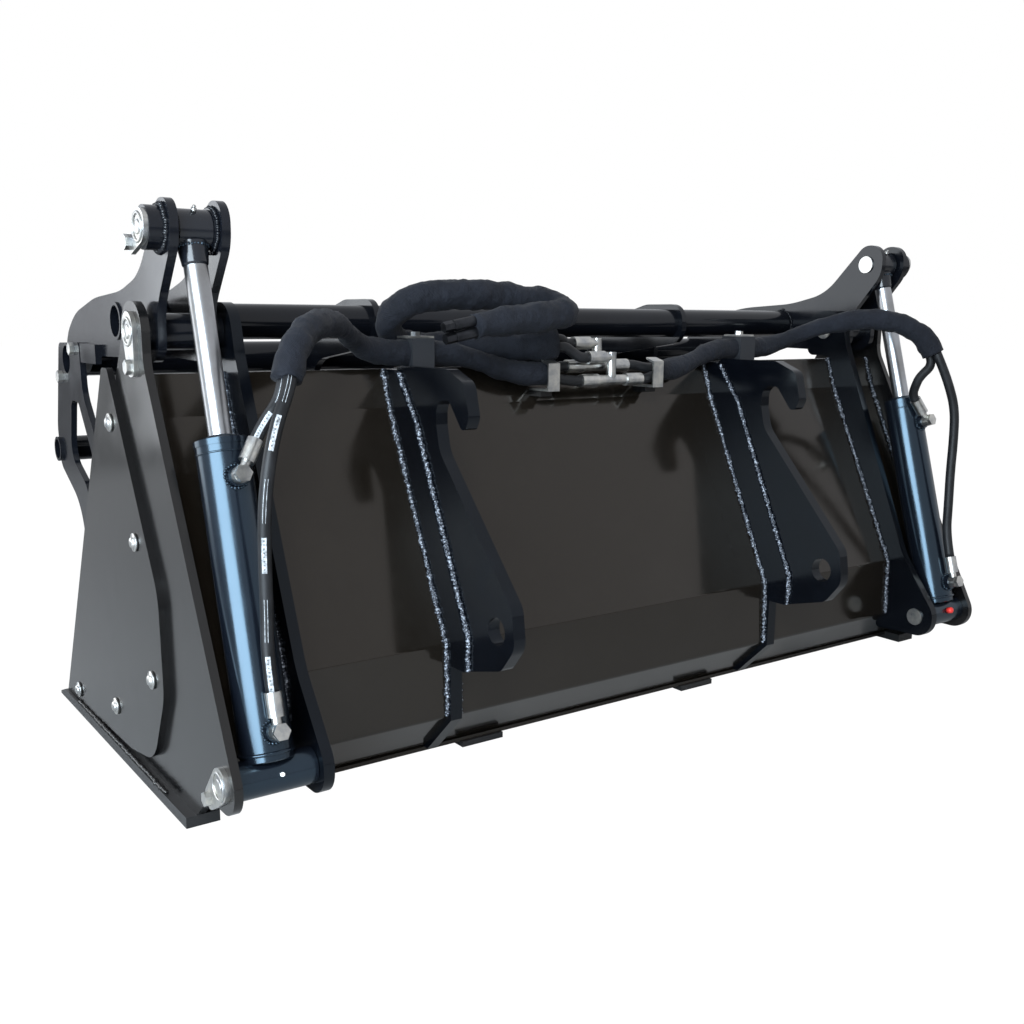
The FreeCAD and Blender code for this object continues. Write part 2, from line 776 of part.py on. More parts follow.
def flag_outline(y, z, reach):
    """A teardrop round the pin with its small end at the reach, from corners along and across it."""
    along, across = reach
    length = root(along * along + across * across)
    v, w = along / length, across / length

    def corner(ahead, aside, radius):
        return (y + v * ahead - w * aside, z + w * ahead + v * aside, radius)

    return [
        corner(-flag_r, flag_r, flag_r * 0.9),
        corner(-flag_r, -flag_r, flag_r * 0.9),
        corner(length + flag_end_r, -flag_end_r, flag_end_r * 0.9),
        corner(length + flag_end_r, flag_end_r, flag_end_r * 0.9),
    ]


def flagged_pin(label, side, inner, y, z, radius, reach):
    """A pin out to the machine's side with its flag, and a wider head at its inner end."""
    bar = rod_x(label + "_bar", outward(side, inner, half_width - inner), y, z, radius, half_width - inner)
    start = outward(side, inner - pin_proud, pin_proud)
    head = rod_x(label + "_head", start, y, z, pin_head_r, pin_proud)
    flag = plate(label + "_flag", outward(side, half_width, flag_thick), flag_thick, [flag_outline(y, z, reach)])
    return fuse(label, [bar, head, flag])


pivot_flag = (dimension("pivot_flag_reach_y", -8), dimension("pivot_flag_reach_z", -60))
lower_flag = (dimension("lower_flag_reach_y", 42), dimension("lower_flag_reach_z", -35))
upper_flag = (dimension("upper_flag_reach_y", 44), dimension("upper_flag_reach_z", -22))
pin_specs = (
    ("pivot_pin", ear_x, pivot_y, pivot_z, pivot_pin_r, pivot_flag),
    ("lower_pin", ear_x, lower_y, lower_z, ram_pin_r, lower_flag),
    ("upper_pin", arm_inner_x, upper_y, upper_z, ram_pin_r, upper_flag),
)
for label, inner, y, z, radius, reach in pin_specs:
    pins = [flagged_pin(label + "_" + name, side, inner, y, z, radius, reach) for name, side in SIDES]
    keep(gather(label + "s", pins))


def pin_bolt_heads(specs):
    return [
        hex_head("%s_%s_bolt" % (label, name), side, half_width + flag_thick, y + reach[0], z + reach[1])
        for label, inner, y, z, radius, reach in specs
        for name, side in SIDES
    ]


keep(gather("bucket_pin_bolts", pin_bolt_heads(pin_specs[:2])))
keep(gather("jaw_bolts", tine_bolts + pin_bolt_heads(pin_specs[2:])))


# Rams: barrel with base bush, gland cap, rod with eye, piston and hose ports
def along_ram(side, distance, behind=ZERO):
    """A place on the ram's line, that far from the lower pin and that far behind the line."""
    x = -ram_x if side < 0 else ram_x
    y = lower_y + ram_dy / ram_length * distance - ram_dz / ram_length * behind
    z = lower_z + ram_dz / ram_length * distance + ram_dy / ram_length * behind
    return x, y, z


base_start = dimension("barrel_base_start", 24)
base_end = dimension("barrel_base_end", 58)
rod_back = dimension("rod_back_end", 372)
piston_length = dimension("piston_length", 40)
bush_start = ear_x + ear_thick + 1
bush_length = side_inner - 1 - bush_start
barrel_outline = [
    (0, base_start),
    (barrel_r - 2, base_start),
    (barrel_r, base_start + 2),
    (barrel_r, barrel_length),
    (bore_r, barrel_length),
    (bore_r, base_end),
    (0, base_end),
]
gland_outline = [
    (rod_r + running_gap, barrel_length),
    (barrel_r + 1.5, barrel_length),
    (barrel_r + 1.5, barrel_length + gland_length - 2),
    (barrel_r - 2, barrel_length + gland_length),
    (rod_r + running_gap, barrel_length + gland_length),
]
neck_start = ram_length - eye_r - dimension("rod_neck_length", 30)
neck_end = ram_length - eye_r + 8
rod_neck_r = dimension("rod_neck_radius", 22)
rod_outline = [
    (0, rod_back),
    (rod_r, rod_back),
    (rod_r, neck_start),
    (rod_neck_r, neck_start + 3),
    (rod_neck_r + 5, neck_end),
    (0, neck_end),
]
piston_outline = [
    (0, rod_back - piston_length),
    (bore_r - piston_gap, rod_back - piston_length),
    (bore_r - piston_gap, rod_back),
    (0, rod_back),
]


banjo_r = dimension("banjo_radius", 14)
banjo_width = dimension("banjo_width", 16)
banjo_head_r = dimension("banjo_head_radius", 15)
banjo_head_height = dimension("banjo_head_height", 9)
neck_r = dimension("ferrule_neck_radius", 8)
ferrule_start = dimension("ferrule_start", 24)
ferrule_end = dimension("ferrule_end", 64)
upper_lean = dimension("upper_ferrule_lean", 32)
ferrule_outline = [
    (0, 0),
    (neck_r, 0),
    (neck_r, ferrule_start),
    (ferrule_r, ferrule_start),
    (ferrule_r, ferrule_end),
    (0, ferrule_end),
]
ring_middle = port_reach + banjo_width / 2
square_back = ram_tilt + Size(90, "90 deg")


def ram_cylinder(label, side, distance, behind, radius, length):
    """A cylinder that points straight back from the ram's line."""
    item = doc.addObject("Part::Cylinder", label)
    bind_number(item, "Radius", radius)
    bind_number(item, "Height", length)
    place(item, *along_ram(side, distance, as_size(behind)), square_back)
    return finish(item, label)


def port_fitting(label, side, distance, lean):
    """A banjo on a port: ring, hexagon head and a ferrule leaning toward the middle."""
    ring = ram_cylinder(label + "_ring", side, distance, port_reach, banjo_r, banjo_width)
    head = doc.addObject("Part::Prism", label + "_head")
    head.Polygon = 6
    bind_number(head, "Circumradius", banjo_head_r)
    bind_number(head, "Height", banjo_head_height)
    place(head, *along_ram(side, distance, port_reach + banjo_width), square_back)
    x, y, z = along_ram(side, distance, ring_middle)
    ferrule = turned(label + "_ferrule", ferrule_outline, x, y, z, ram_tilt)
    if lean:
        turns = (ram_tilt.text, (lean * -side).text)
        turn = "rotation(vector(1; 0; 0); %s) * rotation(vector(0; 1; 0); %s)" % turns
        spot = "vector(%s; %s; %s)" % (x.text, (y + frame_y).text, z.text)
        ferrule.setExpression("Placement.Rotation.Angle", None)
        for axis in "xyz":
            ferrule.setExpression("Placement.Base." + axis, None)
        ferrule.setExpression("Placement", "placement(%s; %s)" % (spot, turn))
    return fuse(label, [ring, head, ferrule])


for name, side in SIDES:
    x = -ram_x if side < 0 else ram_x
    seat = (x, lower_y, lower_z, ram_tilt)
    start = outward(side, bush_start, bush_length)
    tube = turned("barrel_tube_" + name, barrel_outline, *seat)
    bush = rod_x("base_bush_" + name, start, lower_y, lower_z, bush_r, bush_length)
    inset = bore_r + 2
    ports = [
        ram_cylinder("port_low_" + name, side, port_low, inset, port_boss_r, port_reach - inset),
        ram_cylinder("port_high_" + name, side, port_high, inset, port_boss_r, port_reach - inset),
    ]
    solid = fuse("barrel_solid_" + name, [tube, bush] + ports)
    bore = rod_x("base_bore_" + name, start, lower_y, lower_z, pin_clear, bush_length)
    keep(cut("barrel_" + name, solid, bore))
    keep(turned("gland_" + name, gland_outline, *seat))
    eye_start = x - eye_half
    bar = turned("rod_bar_" + name, rod_outline, *seat)
    piston = turned("piston_" + name, piston_outline, *seat)
    eye = rod_x("eye_tube_" + name, eye_start, upper_y, upper_z, eye_r, eye_half * 2)
    solid = fuse("rod_solid_" + name, [bar, piston, eye])
    bore = rod_x("eye_bore_" + name, eye_start, upper_y, upper_z, eye_bore_r, eye_half * 2)
    keep(cut("rod_" + name, solid, bore))
    fittings = [
        port_fitting("fitting_low_" + name, side, port_low, None),
        port_fitting("fitting_high_" + name, side, port_high, upper_lean),
    ]
    keep(gather("port_fittings_" + name, fittings))

# Hose hardware on the wall's upper lip: clamps, hooks and two tees
clamp_length = dimension("clamp_length", 50)
clamp_depth = dimension("clamp_depth", 62)
clamp_back = dimension("clamp_back_y", 68)
clamp_height = dimension("clamp_height", 60)
clamp_plate = dimension("clamp_plate_thickness", 4)
clamp_hose_y = dimension("clamp_hose_y", 98)
clamp_hose_z = dimension("clamp_hose_z", 790)
clamp_head_r = dimension("clamp_head_radius", 10)
clamp_head_height = dimension("clamp_head_height", 8)
plate_reach = dimension("clamp_plate_reach", 5)
sleeve_gap = dimension("sleeve_gap", 0.3)
clamp_top_z = wall_top_z + clamp_height
clamps, clamp_tops = [], []
for name, x in (("left", dimension("clamp_left_x", -483)), ("right", dimension("clamp_right_x", 433))):
    size = (clamp_length, clamp_depth, clamp_height)
    body = block("clamp_body_" + name, x, clamp_back, wall_top_z, *size)
    way_r = sleeve_r + sleeve_gap
    way = rod_x("clamp_way_" + name, x, clamp_hose_y, clamp_hose_z, way_r, clamp_length)
    clamps.append(cut("hose_clamp_" + name, body, way))
    size = (clamp_length + plate_reach * 2, clamp_depth - plate_reach * 4, clamp_plate)
    top = block("clamp_plate_" + name, x - plate_reach, clamp_back + plate_reach * 2, clamp_top_z, *size)
    head = doc.addObject("Part::Prism", "clamp_head_" + name)
    head.Polygon = 6
    bind_number(head, "Circumradius", clamp_head_r)
    bind_number(head, "Height", clamp_head_height)
    place(head, x + clamp_length / 2, clamp_back + clamp_depth / 2, clamp_top_z + clamp_plate)
    clamp_tops.append(fuse("clamp_top_" + name, [top, head]))
keep(gather("hose_clamps", clamps))
keep(gather("clamp_tops", clamp_tops))


def lip_y(z):
    """The wall's outer face on the upper lip at a height."""
    return lip_bend_y + (z - lip_bend_z) * ((wall_top_y - lip_bend_y) / (wall_top_z - lip_bend_z))


flat_width = dimension("hose_hook_width", 30)
flat = dimension("hose_hook_thickness", 4)
flat_base = dimension("hose_hook_base_z", 708)
flat_back = dimension("hose_hook_back_y", 36)
flat_top = dimension("hose_hook_top_z", 766)
flat_lip = dimension("hose_hook_lip", 26)
bracket_height = dimension("hose_bracket_height", 12)
flat_outline = [
    (lip_y(flat_base) - 1, flat_base),
    (lip_y(flat_base) - 1, flat_base + flat),
    (flat_back + flat, flat_base + flat),
    (flat_back + flat, flat_top - flat),
    (flat_back + flat_lip, flat_top + flat),
    (flat_back + flat_lip, flat_top + flat * 2),
    (flat_back, flat_top),
    (flat_back, flat_base),
]
bracket_outline = [
    (lip_y(flat_base), flat_base),
    (flat_back + flat_lip, flat_base),
    (flat_back + flat_lip, flat_base - bracket_height),
    (lip_y(flat_base - bracket_height), flat_base - bracket_height),
]
hook_xs = (dimension("hose_hook_left_x", -174), dimension("hose_hook_right_x", 122))
hooks = [plate("hose_hook_%d" % index, x, flat_width, [flat_outline]) for index, x in enumerate(hook_xs)]
keep(gather("hose_hooks", hooks))
brackets = [
    plate("hook_bracket_%d" % index, x, flat_width, [bracket_outline]) for index, x in enumerate(hook_xs)
]
keep(gather("hook_brackets", brackets))

tee_r = dimension("tee_radius", 11)
tee_half = dimension("tee_half_length", 40)
elbow_reach = dimension("tee_elbow_reach", 22)
ferrule_length = dimension("ferrule_length", 46)
tee_specs = (
    (
        "upper",
        dimension("tee_upper_x", -5),
        dimension("tee_upper_y", 84),
        dimension("tee_upper_z", 757),
        dimension("elbow_upper_z", 806),
    ),
    (
        "lower",
        dimension("tee_lower_x", 14),
        dimension("tee_lower_y", 56),
        dimension("tee_lower_z", 727),
        dimension("elbow_lower_z", 776),
    ),
)
tees = []
for name, x, y, z, elbow_z in tee_specs:
    stem = doc.addObject("Part::Cylinder", "tee_stem_" + name)
    bind_number(stem, "Radius", tee_r)
    bind_number(stem, "Height", elbow_z - z + tee_r)
    place(stem, x, y, z)
    left_start = x - tee_half - ferrule_length
    top_start = x - elbow_reach - ferrule_length
    pieces = [
        rod_x("tee_run_" + name, x - tee_half, y, z, tee_r, tee_half * 2),
        stem,
        rod_x("tee_elbow_" + name, x - elbow_reach, y, elbow_z, tee_r - 1, elbow_reach),
        rod_x("ferrule_left_" + name, left_start, y, z, ferrule_r, ferrule_length),
        rod_x("ferrule_right_" + name, x + tee_half, y, z, ferrule_r, ferrule_length),
        rod_x("ferrule_top_" + name, top_start, y, elbow_z, ferrule_r, ferrule_length),
    ]
    tees.append(fuse("tee_" + name, pieces))
keep(gather("tee_fittings", tees))


# Hoses: straight runs between route points, joined by arcs
CORNER_SHARE = 0.45


ROUTE_HALF_WIDTH = 1000
INNER_REACH = 600


def vectors(points):
    """Route points in the part's frame, those near a side kept at their distance from it."""
    stretch = half_width.value - ROUTE_HALF_WIDTH
    shifted = []
    for x, y, z in points:
        if abs(x) > INNER_REACH:
            x += math.copysign(stretch, x)
        shifted.append(FreeCAD.Vector(x, y + frame_y.value, z))
    return shifted


def hose_path(points):
    """A wire through the points with an arc at each corner, and the arcs' radii."""
    runs = [(after - before).Length for before, after in zip(points, points[1:])]
    edges, radii = [], []
    last = points[0]
    for index in range(1, len(points) - 1):
        corner = points[index]
        into = (corner - points[index - 1]).normalize()
        out = (points[index + 1] - corner).normalize()
        half_turn = into.getAngle(out) / 2
        reach = min(runs[index - 1], runs[index]) * CORNER_SHARE
        radii.append(reach / math.tan(half_turn))
        inner = (out - into).normalize()
        middle = corner + inner * (radii[-1] * (1 / math.cos(half_turn) - 1))
        start, end = corner - into * reach, corner + out * reach
        edges.append(Part.LineSegment(last, start).toShape())
        edges.append(Part.Arc(start, middle, end).toShape())
        last = end
    edges.append(Part.LineSegment(last, points[-1]).toShape())
    return Part.Wire(edges), radii


def hose(label, points, radius):
    """A round hose through the points, from face to face of what it joins."""
    path, radii = hose_path(points)
    ahead = (points[1] - points[0]).normalize()
    ring = Part.Wire([Part.makeCircle(radius.value, points[0], ahead)])
    item = doc.addObject("Part::Feature", label)
    item.Shape = path.makePipeShell([ring], True, True)
    share = item.Shape.Volume / (math.pi * radius.value ** 2 * path.Length)
    print(label, "length %.0f" % path.Length, "volume share %.4f" % share)
    print("  radii", " ".join("%.0f" % value for value in radii))
    return finish(item, label)


def port_exit(side, distance, lean, run):
    """The end of a port's ferrule and a point straight out from it."""
    angle = math.radians(lean.value)
    points = []
    for reach in (ferrule_end.value, ferrule_end.value + run):
        x, y, z = along_ram(side, distance + reach * math.cos(angle), ring_middle)
        points.append((x.value - side * reach * math.sin(angle), y.value, z.value))
    return vectors(points)


def sleeve_mouth(points, across, run):
    """Two hoses side by side on a sleeve's first face: for each a point straight out, and its end."""
    ahead = (points[1] - points[0]).normalize()
    aside = FreeCAD.Vector(*across)
    aside = (aside - ahead * ahead.dot(aside)).normalize() * hose_r.value
    ends = points[0] + aside, points[0] - aside
    return [[end - ahead * run, end] for end in ends]


SLEEVES = {
    "sleeve_left": [
        (-846, -152, 760),
        (-832, -138, 796),
        (-800, -108, 828),
        (-752, -68, 848),
        (-696, -15, 850),
        (-640, 42, 832),
        (-590, 84, 804),
        (-530, 98, 790),
        (-394, 98, 790),
        (-326, 92, 776),
        (-268, 82, 756),
        (-212, 74, 745),
        (-158, 70, 742),
    ],
    "sleeve_right": [
        (868, -164, 778),
        (856, -150, 816),
        (818, -118, 848),
        (766, -74, 864),
        (704, -18, 856),
        (644, 42, 832),
        (590, 84, 804),
        (530, 98, 790),
        (394, 98, 790),
        (326, 92, 776),
        (268, 82, 756),
        (212, 74, 745),
        (160, 70, 742),
    ],
    "supply_sleeve": [
        (-132, 72, 806),
        (-178, 82, 802),
        (-228, 104, 798),
        (-286, 138, 796),
        (-348, 158, 798),
        (-408, 164, 804),
        (-462, 160, 812),
        (-494, 146, 834),
        (-500, 124, 862),
        (-478, 104, 886),
        (-436, 90, 900),
        (-378, 80, 904),
        (-318, 76, 904),
        (-262, 72, 902),
        (-216, 66, 898),
        (-180, 50, 890),
        (-168, 22, 878),
        (-188, -4, 868),
        (-232, -16, 862),
        (-288, -20, 858),
        (-344, -22, 852),
        (-398, -22, 842),
    ],
}
sleeves = {label: vectors(points) for label, points in SLEEVES.items()}
for label, points in sleeves.items():
    keep(hose(label, points, sleeve_r))

HOSE_MIDDLES = {
    "hose_left_high": [(-868, -122, 698), (-858, -134, 718)],
    "hose_left_low": [(-916, -204, 400), (-914, -198, 484), (-912, -200, 568), (-902, -202, 640), (-880, -186, 696)],
    "hose_right_high": [(870, -120, 698), (868, -132, 722)],
    "hose_right_low": [(920, -208, 400), (922, -204, 484), (924, -204, 568), (918, -204, 644), (898, -194, 706)],
}
for name, side in SIDES:
    across = (0, 1, 0)
    mouths = sleeve_mouth(sleeves["sleeve_" + name], across, 24)
    starts = (port_exit(side, port_high, upper_lean, 16), port_exit(side, port_low, ZERO, 58))
    for level, start, mouth in zip(("high", "low"), starts, mouths):
        label = "hose_%s_%s" % (name, level)
        keep(hose(label, start + vectors(HOSE_MIDDLES[label]) + mouth, hose_r))

STUB_RUN = 20
stubs = []
for label, row_name in (("sleeve_left", "left"), ("sleeve_right", "right"), ("supply_sleeve", "top")):
    points = sleeves[label] if row_name == "top" else list(reversed(sleeves[label]))
    mouths = sleeve_mouth(points, (0, 1, 1), STUB_RUN)
    for (tee_name, x, y, z, elbow_z), mouth in zip(tee_specs, mouths):
        reach = {"left": -tee_half, "right": tee_half, "top": as_size(-elbow_reach)}[row_name]
        tip = x + reach + (ferrule_length if row_name == "right" else -ferrule_length)
        height = elbow_z if row_name == "top" else z
        out = STUB_RUN if row_name == "right" else -STUB_RUN
        ends = vectors([(tip.value, y.value, height.value), (tip.value + out, y.value, height.value)])
        stubs.append(hose("stub_%s_%s" % (row_name, tee_name), ends + mouth, hose_r))
keep(gather("hose_stubs", stubs))

# Threaded ends of the two supply hoses, side by side out of the supply sleeve
end_r = dimension("supply_end_radius", 10.5)
end_length = dimension("supply_end_length", 48)
nut_length = dimension("supply_nut_length", 22)
last, before = sleeves["supply_sleeve"][-1], sleeves["supply_sleeve"][-2]
heading = (last - before).normalize()
across = heading.cross(FreeCAD.Vector(0, 1, 0)).normalize() * hose_r.value
supply_ends = []
for index, offset in enumerate((across, across * -1)):
    pieces = []
    for kind, item_type, start, length in (
        ("ferrule", "Part::Cylinder", 0, end_length),
        ("nut", "Part::Prism", end_length.value, nut_length),
    ):
        item = doc.addObject(item_type, "supply_%s_%d" % (kind, index))
        bind_number(item, "Height", length)
        bind_number(item, "Radius" if kind == "ferrule" else "Circumradius", end_r)
        turn = FreeCAD.Rotation(FreeCAD.Vector(0, 0, 1), heading)
        item.Placement = FreeCAD.Placement(last + offset + heading * start, turn)
        pieces.append(item)
    supply_ends.append(fuse("supply_end_%d" % index, pieces))
keep(gather("supply_fittings", supply_ends))

doc.recompute()
faults = [item.Label for item in doc.Objects if {"Invalid", "Error"} & set(item.State)]
faults += [item.Label for item in nodes if item.Shape.isNull() or not item.Shape.isValid()]
if faults:
    raise RuntimeError("These objects failed: " + ", ".join(faults))
os.makedirs("parts", exist_ok=True)
for item in nodes:
    item.Shape.exportStep("parts/%s.step" % item.Label)
print(len(nodes), "pieces written")
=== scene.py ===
import bpy
import bmesh
import json
import math
from mathutils import Matrix, Vector, noise


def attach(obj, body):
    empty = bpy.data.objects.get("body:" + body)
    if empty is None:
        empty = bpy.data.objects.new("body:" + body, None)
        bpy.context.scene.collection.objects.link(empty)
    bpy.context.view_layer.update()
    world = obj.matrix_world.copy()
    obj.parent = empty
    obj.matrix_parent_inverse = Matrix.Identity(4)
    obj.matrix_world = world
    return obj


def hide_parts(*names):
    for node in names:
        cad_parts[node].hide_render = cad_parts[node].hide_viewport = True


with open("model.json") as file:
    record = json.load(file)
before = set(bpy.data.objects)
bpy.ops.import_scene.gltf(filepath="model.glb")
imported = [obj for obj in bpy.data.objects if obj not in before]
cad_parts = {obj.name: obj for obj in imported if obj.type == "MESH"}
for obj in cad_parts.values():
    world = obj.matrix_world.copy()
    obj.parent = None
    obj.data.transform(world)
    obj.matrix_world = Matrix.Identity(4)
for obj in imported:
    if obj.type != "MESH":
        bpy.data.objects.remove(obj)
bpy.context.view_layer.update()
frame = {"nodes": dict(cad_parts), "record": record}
scene = bpy.context.scene
frameY = -238.043  # millimetres from the sketch's frame to the part's frame


def spot(x, y, z):
    return Vector((x, y + frameY, z)) / 1000


# ---- camera
cameraLook = {"spot": (-1585.9, -1800.7, 859.7), "yaw": -35.23, "pitch": -11.31, "roll": 0.41, "lens": 38.65}


def makeCamera(look):
    yaw, pitch, roll = (math.radians(look[key]) for key in ("yaw", "pitch", "roll"))
    ahead = Vector((-math.sin(yaw) * math.cos(pitch), math.cos(yaw) * math.cos(pitch), math.sin(pitch)))
    right = Vector((math.cos(yaw), math.sin(yaw), 0))
    up = right.cross(ahead)
    tiltedRight = right * math.cos(roll) + up * math.sin(roll)
    tiltedUp = up * math.cos(roll) - right * math.sin(roll)
    data = bpy.data.cameras.new("photoCamera")
    data.sensor_width = 36
    data.lens = look["lens"]
    data.shift_x = 0.0093
    data.shift_y = 0.0247
    data.clip_start = 0.05
    data.clip_end = 100
    camera = bpy.data.objects.new("photoCamera", data)
    scene.collection.objects.link(camera)
    turn = Matrix((tiltedRight, tiltedUp, -ahead)).transposed()
    camera.matrix_world = Matrix.Translation(spot(*look["spot"])) @ turn.to_4x4()
    scene.camera = camera


makeCamera(cameraLook)
print("camera set")


# ---- shader maths written as expressions
class Wire:
    def __init__(self, tree, socket):
        self.tree = tree
        self.socket = socket

    def node(self, kind, settings=None, outlet=0, **values):
        made = self.tree.nodes.new(kind)
        for key, value in (settings or {}).items():
            if key == "stops":
                for index, (place, colour) in enumerate(value):
                    stops = made.color_ramp.elements
                    stop = stops[index] if index < 2 else stops.new(place)
                    stop.position = place
                    stop.color = (*colour, 1) if isinstance(colour, tuple) else (colour, colour, colour, 1)
            else:
                setattr(made, key, value)
        for key, value in values.items():
            numbered = key[0] == "i" and key[1:].isdigit()
            inlet = made.inputs[int(key[1:]) if numbered else key.replace("_", " ")]
            if isinstance(value, Wire):
                self.tree.links.new(value.socket, inlet)
            else:
                inlet.default_value = value
        return Wire(self.tree, made.outputs[outlet])

    def maths(self, operation, first, second):
        return self.node("ShaderNodeMath", {"operation": operation}, i0=first, i1=second)

    def __add__(self, other):
        return self.maths("ADD", self, other)

    __radd__ = __add__

    def __sub__(self, other):
        return self.maths("SUBTRACT", self, other)

    def __rsub__(self, other):
        return self.maths("SUBTRACT", other, self)

    def __mul__(self, other):
        return self.maths("MULTIPLY", self, other)

    __rmul__ = __mul__

    def __pow__(self, other):
        return self.maths("POWER", self, other)

    def above(self, edge):
        return self.maths("GREATER_THAN", self, edge)

    def ramp(self, *stops):
        return self.node("ShaderNodeValToRGB", {"stops": stops}, i0=self)

    def between(self, first, second):
        return self.node("ShaderNodeMix", {"data_type": "RGBA"}, outlet=2, i0=self, i6=first, i7=second)


def startMaterial(name):
    material = bpy.data.materials.new(name)
    material.use_nodes = True
    tree = material.node_tree
    tree.nodes.clear()
    shader = tree.nodes.new("ShaderNodeBsdfPrincipled")
    output = tree.nodes.new("ShaderNodeOutputMaterial")
    tree.links.new(shader.outputs[0], output.inputs[0])
    base = Wire(tree, None)
    return material, shader, base


def feed(shader, base, **values):
    for key, value in values.items():
        inlet = shader.inputs[key.replace("_", " ")]
        if isinstance(value, Wire):
            base.tree.links.new(value.socket, inlet)
        else:
            inlet.default_value = value


def shade(colour):
    return (*colour, 1)


def objectPlace(base):
    return base.node("ShaderNodeTexCoord", outlet=3)


def ripple(base, place, size, detail=3.0, rough=0.5):
    return base.node("ShaderNodeTexNoise", Vector=place, Scale=size, Detail=detail, Roughness=rough)


def bump(base, height, strength, distance):
    return base.node("ShaderNodeBump", Strength=strength, Distance=distance, Height=height)


paintLook = {
    "frame": {
        "colour": (0.0034, 0.0034, 0.0036),
        "dustAndGlintTone": (0.026, 0.025, 0.026),
        "rough": 0.17,
        "peel": 0.04,
        "gloss": (1.0, 0.97, 0.93),
    },
    # Wall: the near-black is the paint's own; its warm brown tint and slightly raised tone, in colour, dust and gloss,
    # are a painted reflection of warm surroundings.
    "wall": {
        "colour": (0.0062, 0.005, 0.0038),
        "dustAndGlintTone": (0.026, 0.023, 0.02),
        "rough": 0.13,
        "peel": 0.02,
        "gloss": (1.0, 0.93, 0.86),
    },
    "edge": {"colour": (0.006, 0.006, 0.0065), "dustAndGlintTone": (0.06, 0.056, 0.05), "rough": 0.4, "peel": 0.12},
    # Ram barrels: the blue gloss tint colours all their reflections, a painted reflection of blue window light.
    "ram": {
        "colour": (0.003, 0.004, 0.0065),
        "dustAndGlintTone": (0.016, 0.02, 0.03),
        "rough": 0.21,
        "peel": 0.02,
        "gloss": (0.56, 0.8, 1.0),
        "shine": 0.7,
    },
    # Jaw: the same black paint given a blue-black tint in colour and dust; the blue tint is a painted reflection.
    "jaw": {
        "colour": (0.0028, 0.0034, 0.005),
        "dustAndGlintTone": (0.018, 0.022, 0.032),
        "rough": 0.16,
        "peel": 0.04,
        "shine": 0.34,
    },
    # Ribs, hook and ear plates: the same black paint, darker and blue-black in colour, dust and gloss; the blue tint
    # is a painted reflection.
    "rib": {
        "colour": (0.0012, 0.0016, 0.0026),
        "dustAndGlintTone": (0.01, 0.013, 0.02),
        "rough": 0.17,
        "peel": 0.05,
        "shine": 0.26,
        "gloss": (0.86, 0.94, 1.0),
    },
    # Weld beads: the raised base colour is a painted sheen, and the light speck tone is painted glints, not dust.
    "weld": {
        "colour": (0.02, 0.024, 0.032),
        "dustAndGlintTone": (0.27, 0.3, 0.35),
        "rough": 0.13,
        "peel": 0.45,
        "speckAndGlintEdge": 0.57,
    },
}


def makePaint(name, look, dustAndGlintShare=0.16, speckAndGlintShare=0.06):
    material, shader, base = startMaterial(name)
    place = objectPlace(base)
    cloudy = ripple(base, place, 2.5, 6.0, 0.6)
    specksAndGlints = ripple(base, place, 260.0, 2.0)
    streaks = ripple(base, place, 14.0, 8.0, 0.7)
    # The light tone laid on by the patches and specks is dust on the paints, and painted glints on the weld beads.
    dustAndGlintPatches = (cloudy * 0.6 + streaks * 0.4).ramp((0.48, 0.0), (0.8, 1.0))
    dirtAndGlint = dustAndGlintPatches * dustAndGlintShare + specksAndGlints.above(look.get("speckAndGlintEdge", 0.68)) * speckAndGlintShare
    colour = dirtAndGlint.between(shade(look["colour"]), shade(look["dustAndGlintTone"]))
    peel = ripple(base, place, 420.0, 2.0) * 0.6 + ripple(base, place, 90.0) * 0.4
    feed(
        shader,
        base,
        Base_Color=colour,
        Roughness=streaks * 0.1 + dustAndGlintPatches * 0.08 + (look["rough"] - 0.06),
        Normal=bump(base, peel, look["peel"], 0.001),
        IOR=1.5,
        Specular_Tint=shade(look.get("gloss", (1.0, 1.0, 1.0))),
        Specular_IOR_Level=look.get("shine", 0.5),
    )
    return material


def makeMetal(name, colour, dark, rough, scratches):
    material, shader, base = startMaterial(name)
    place = objectPlace(base)
    patches = ripple(base, place, 38.0, 5.0, 0.65)
    grain = ripple(base, place, 600.0, 2.0)
    feed(
        shader,
        base,
        Base_Color=patches.ramp((0.35, 0.0), (0.7, 1.0)).between(shade(dark), shade(colour)),
        Metallic=1.0,
        Roughness=patches * 0.22 + grain * 0.1 + (rough - 0.16),
        Normal=bump(base, patches * 0.5 + grain * 0.5, scratches, 0.001),
    )
    return material


# ---- the ram's line: from the lower pin up to the rod's eye
ramLook = {"lower": (-202.0, 122.9), "upper": (51.0, 999.8), "x": 920.0, "blackEnd": 0.064}
ramRise = Vector((0, ramLook["upper"][0] - ramLook["lower"][0], ramLook["upper"][1] - ramLook["lower"][1]))
ramLength = ramRise.length
ramWay = ramRise.normalized()
ramBack = Vector((0, -ramWay.z, ramWay.y))


def ramSpot(side, distance, behind=0.0, inward=0.0):
    foot = Vector((side * (ramLook["x"] - inward), ramLook["lower"][0], ramLook["lower"][1]))
    return spot(*(foot + ramWay * distance + ramBack * behind))


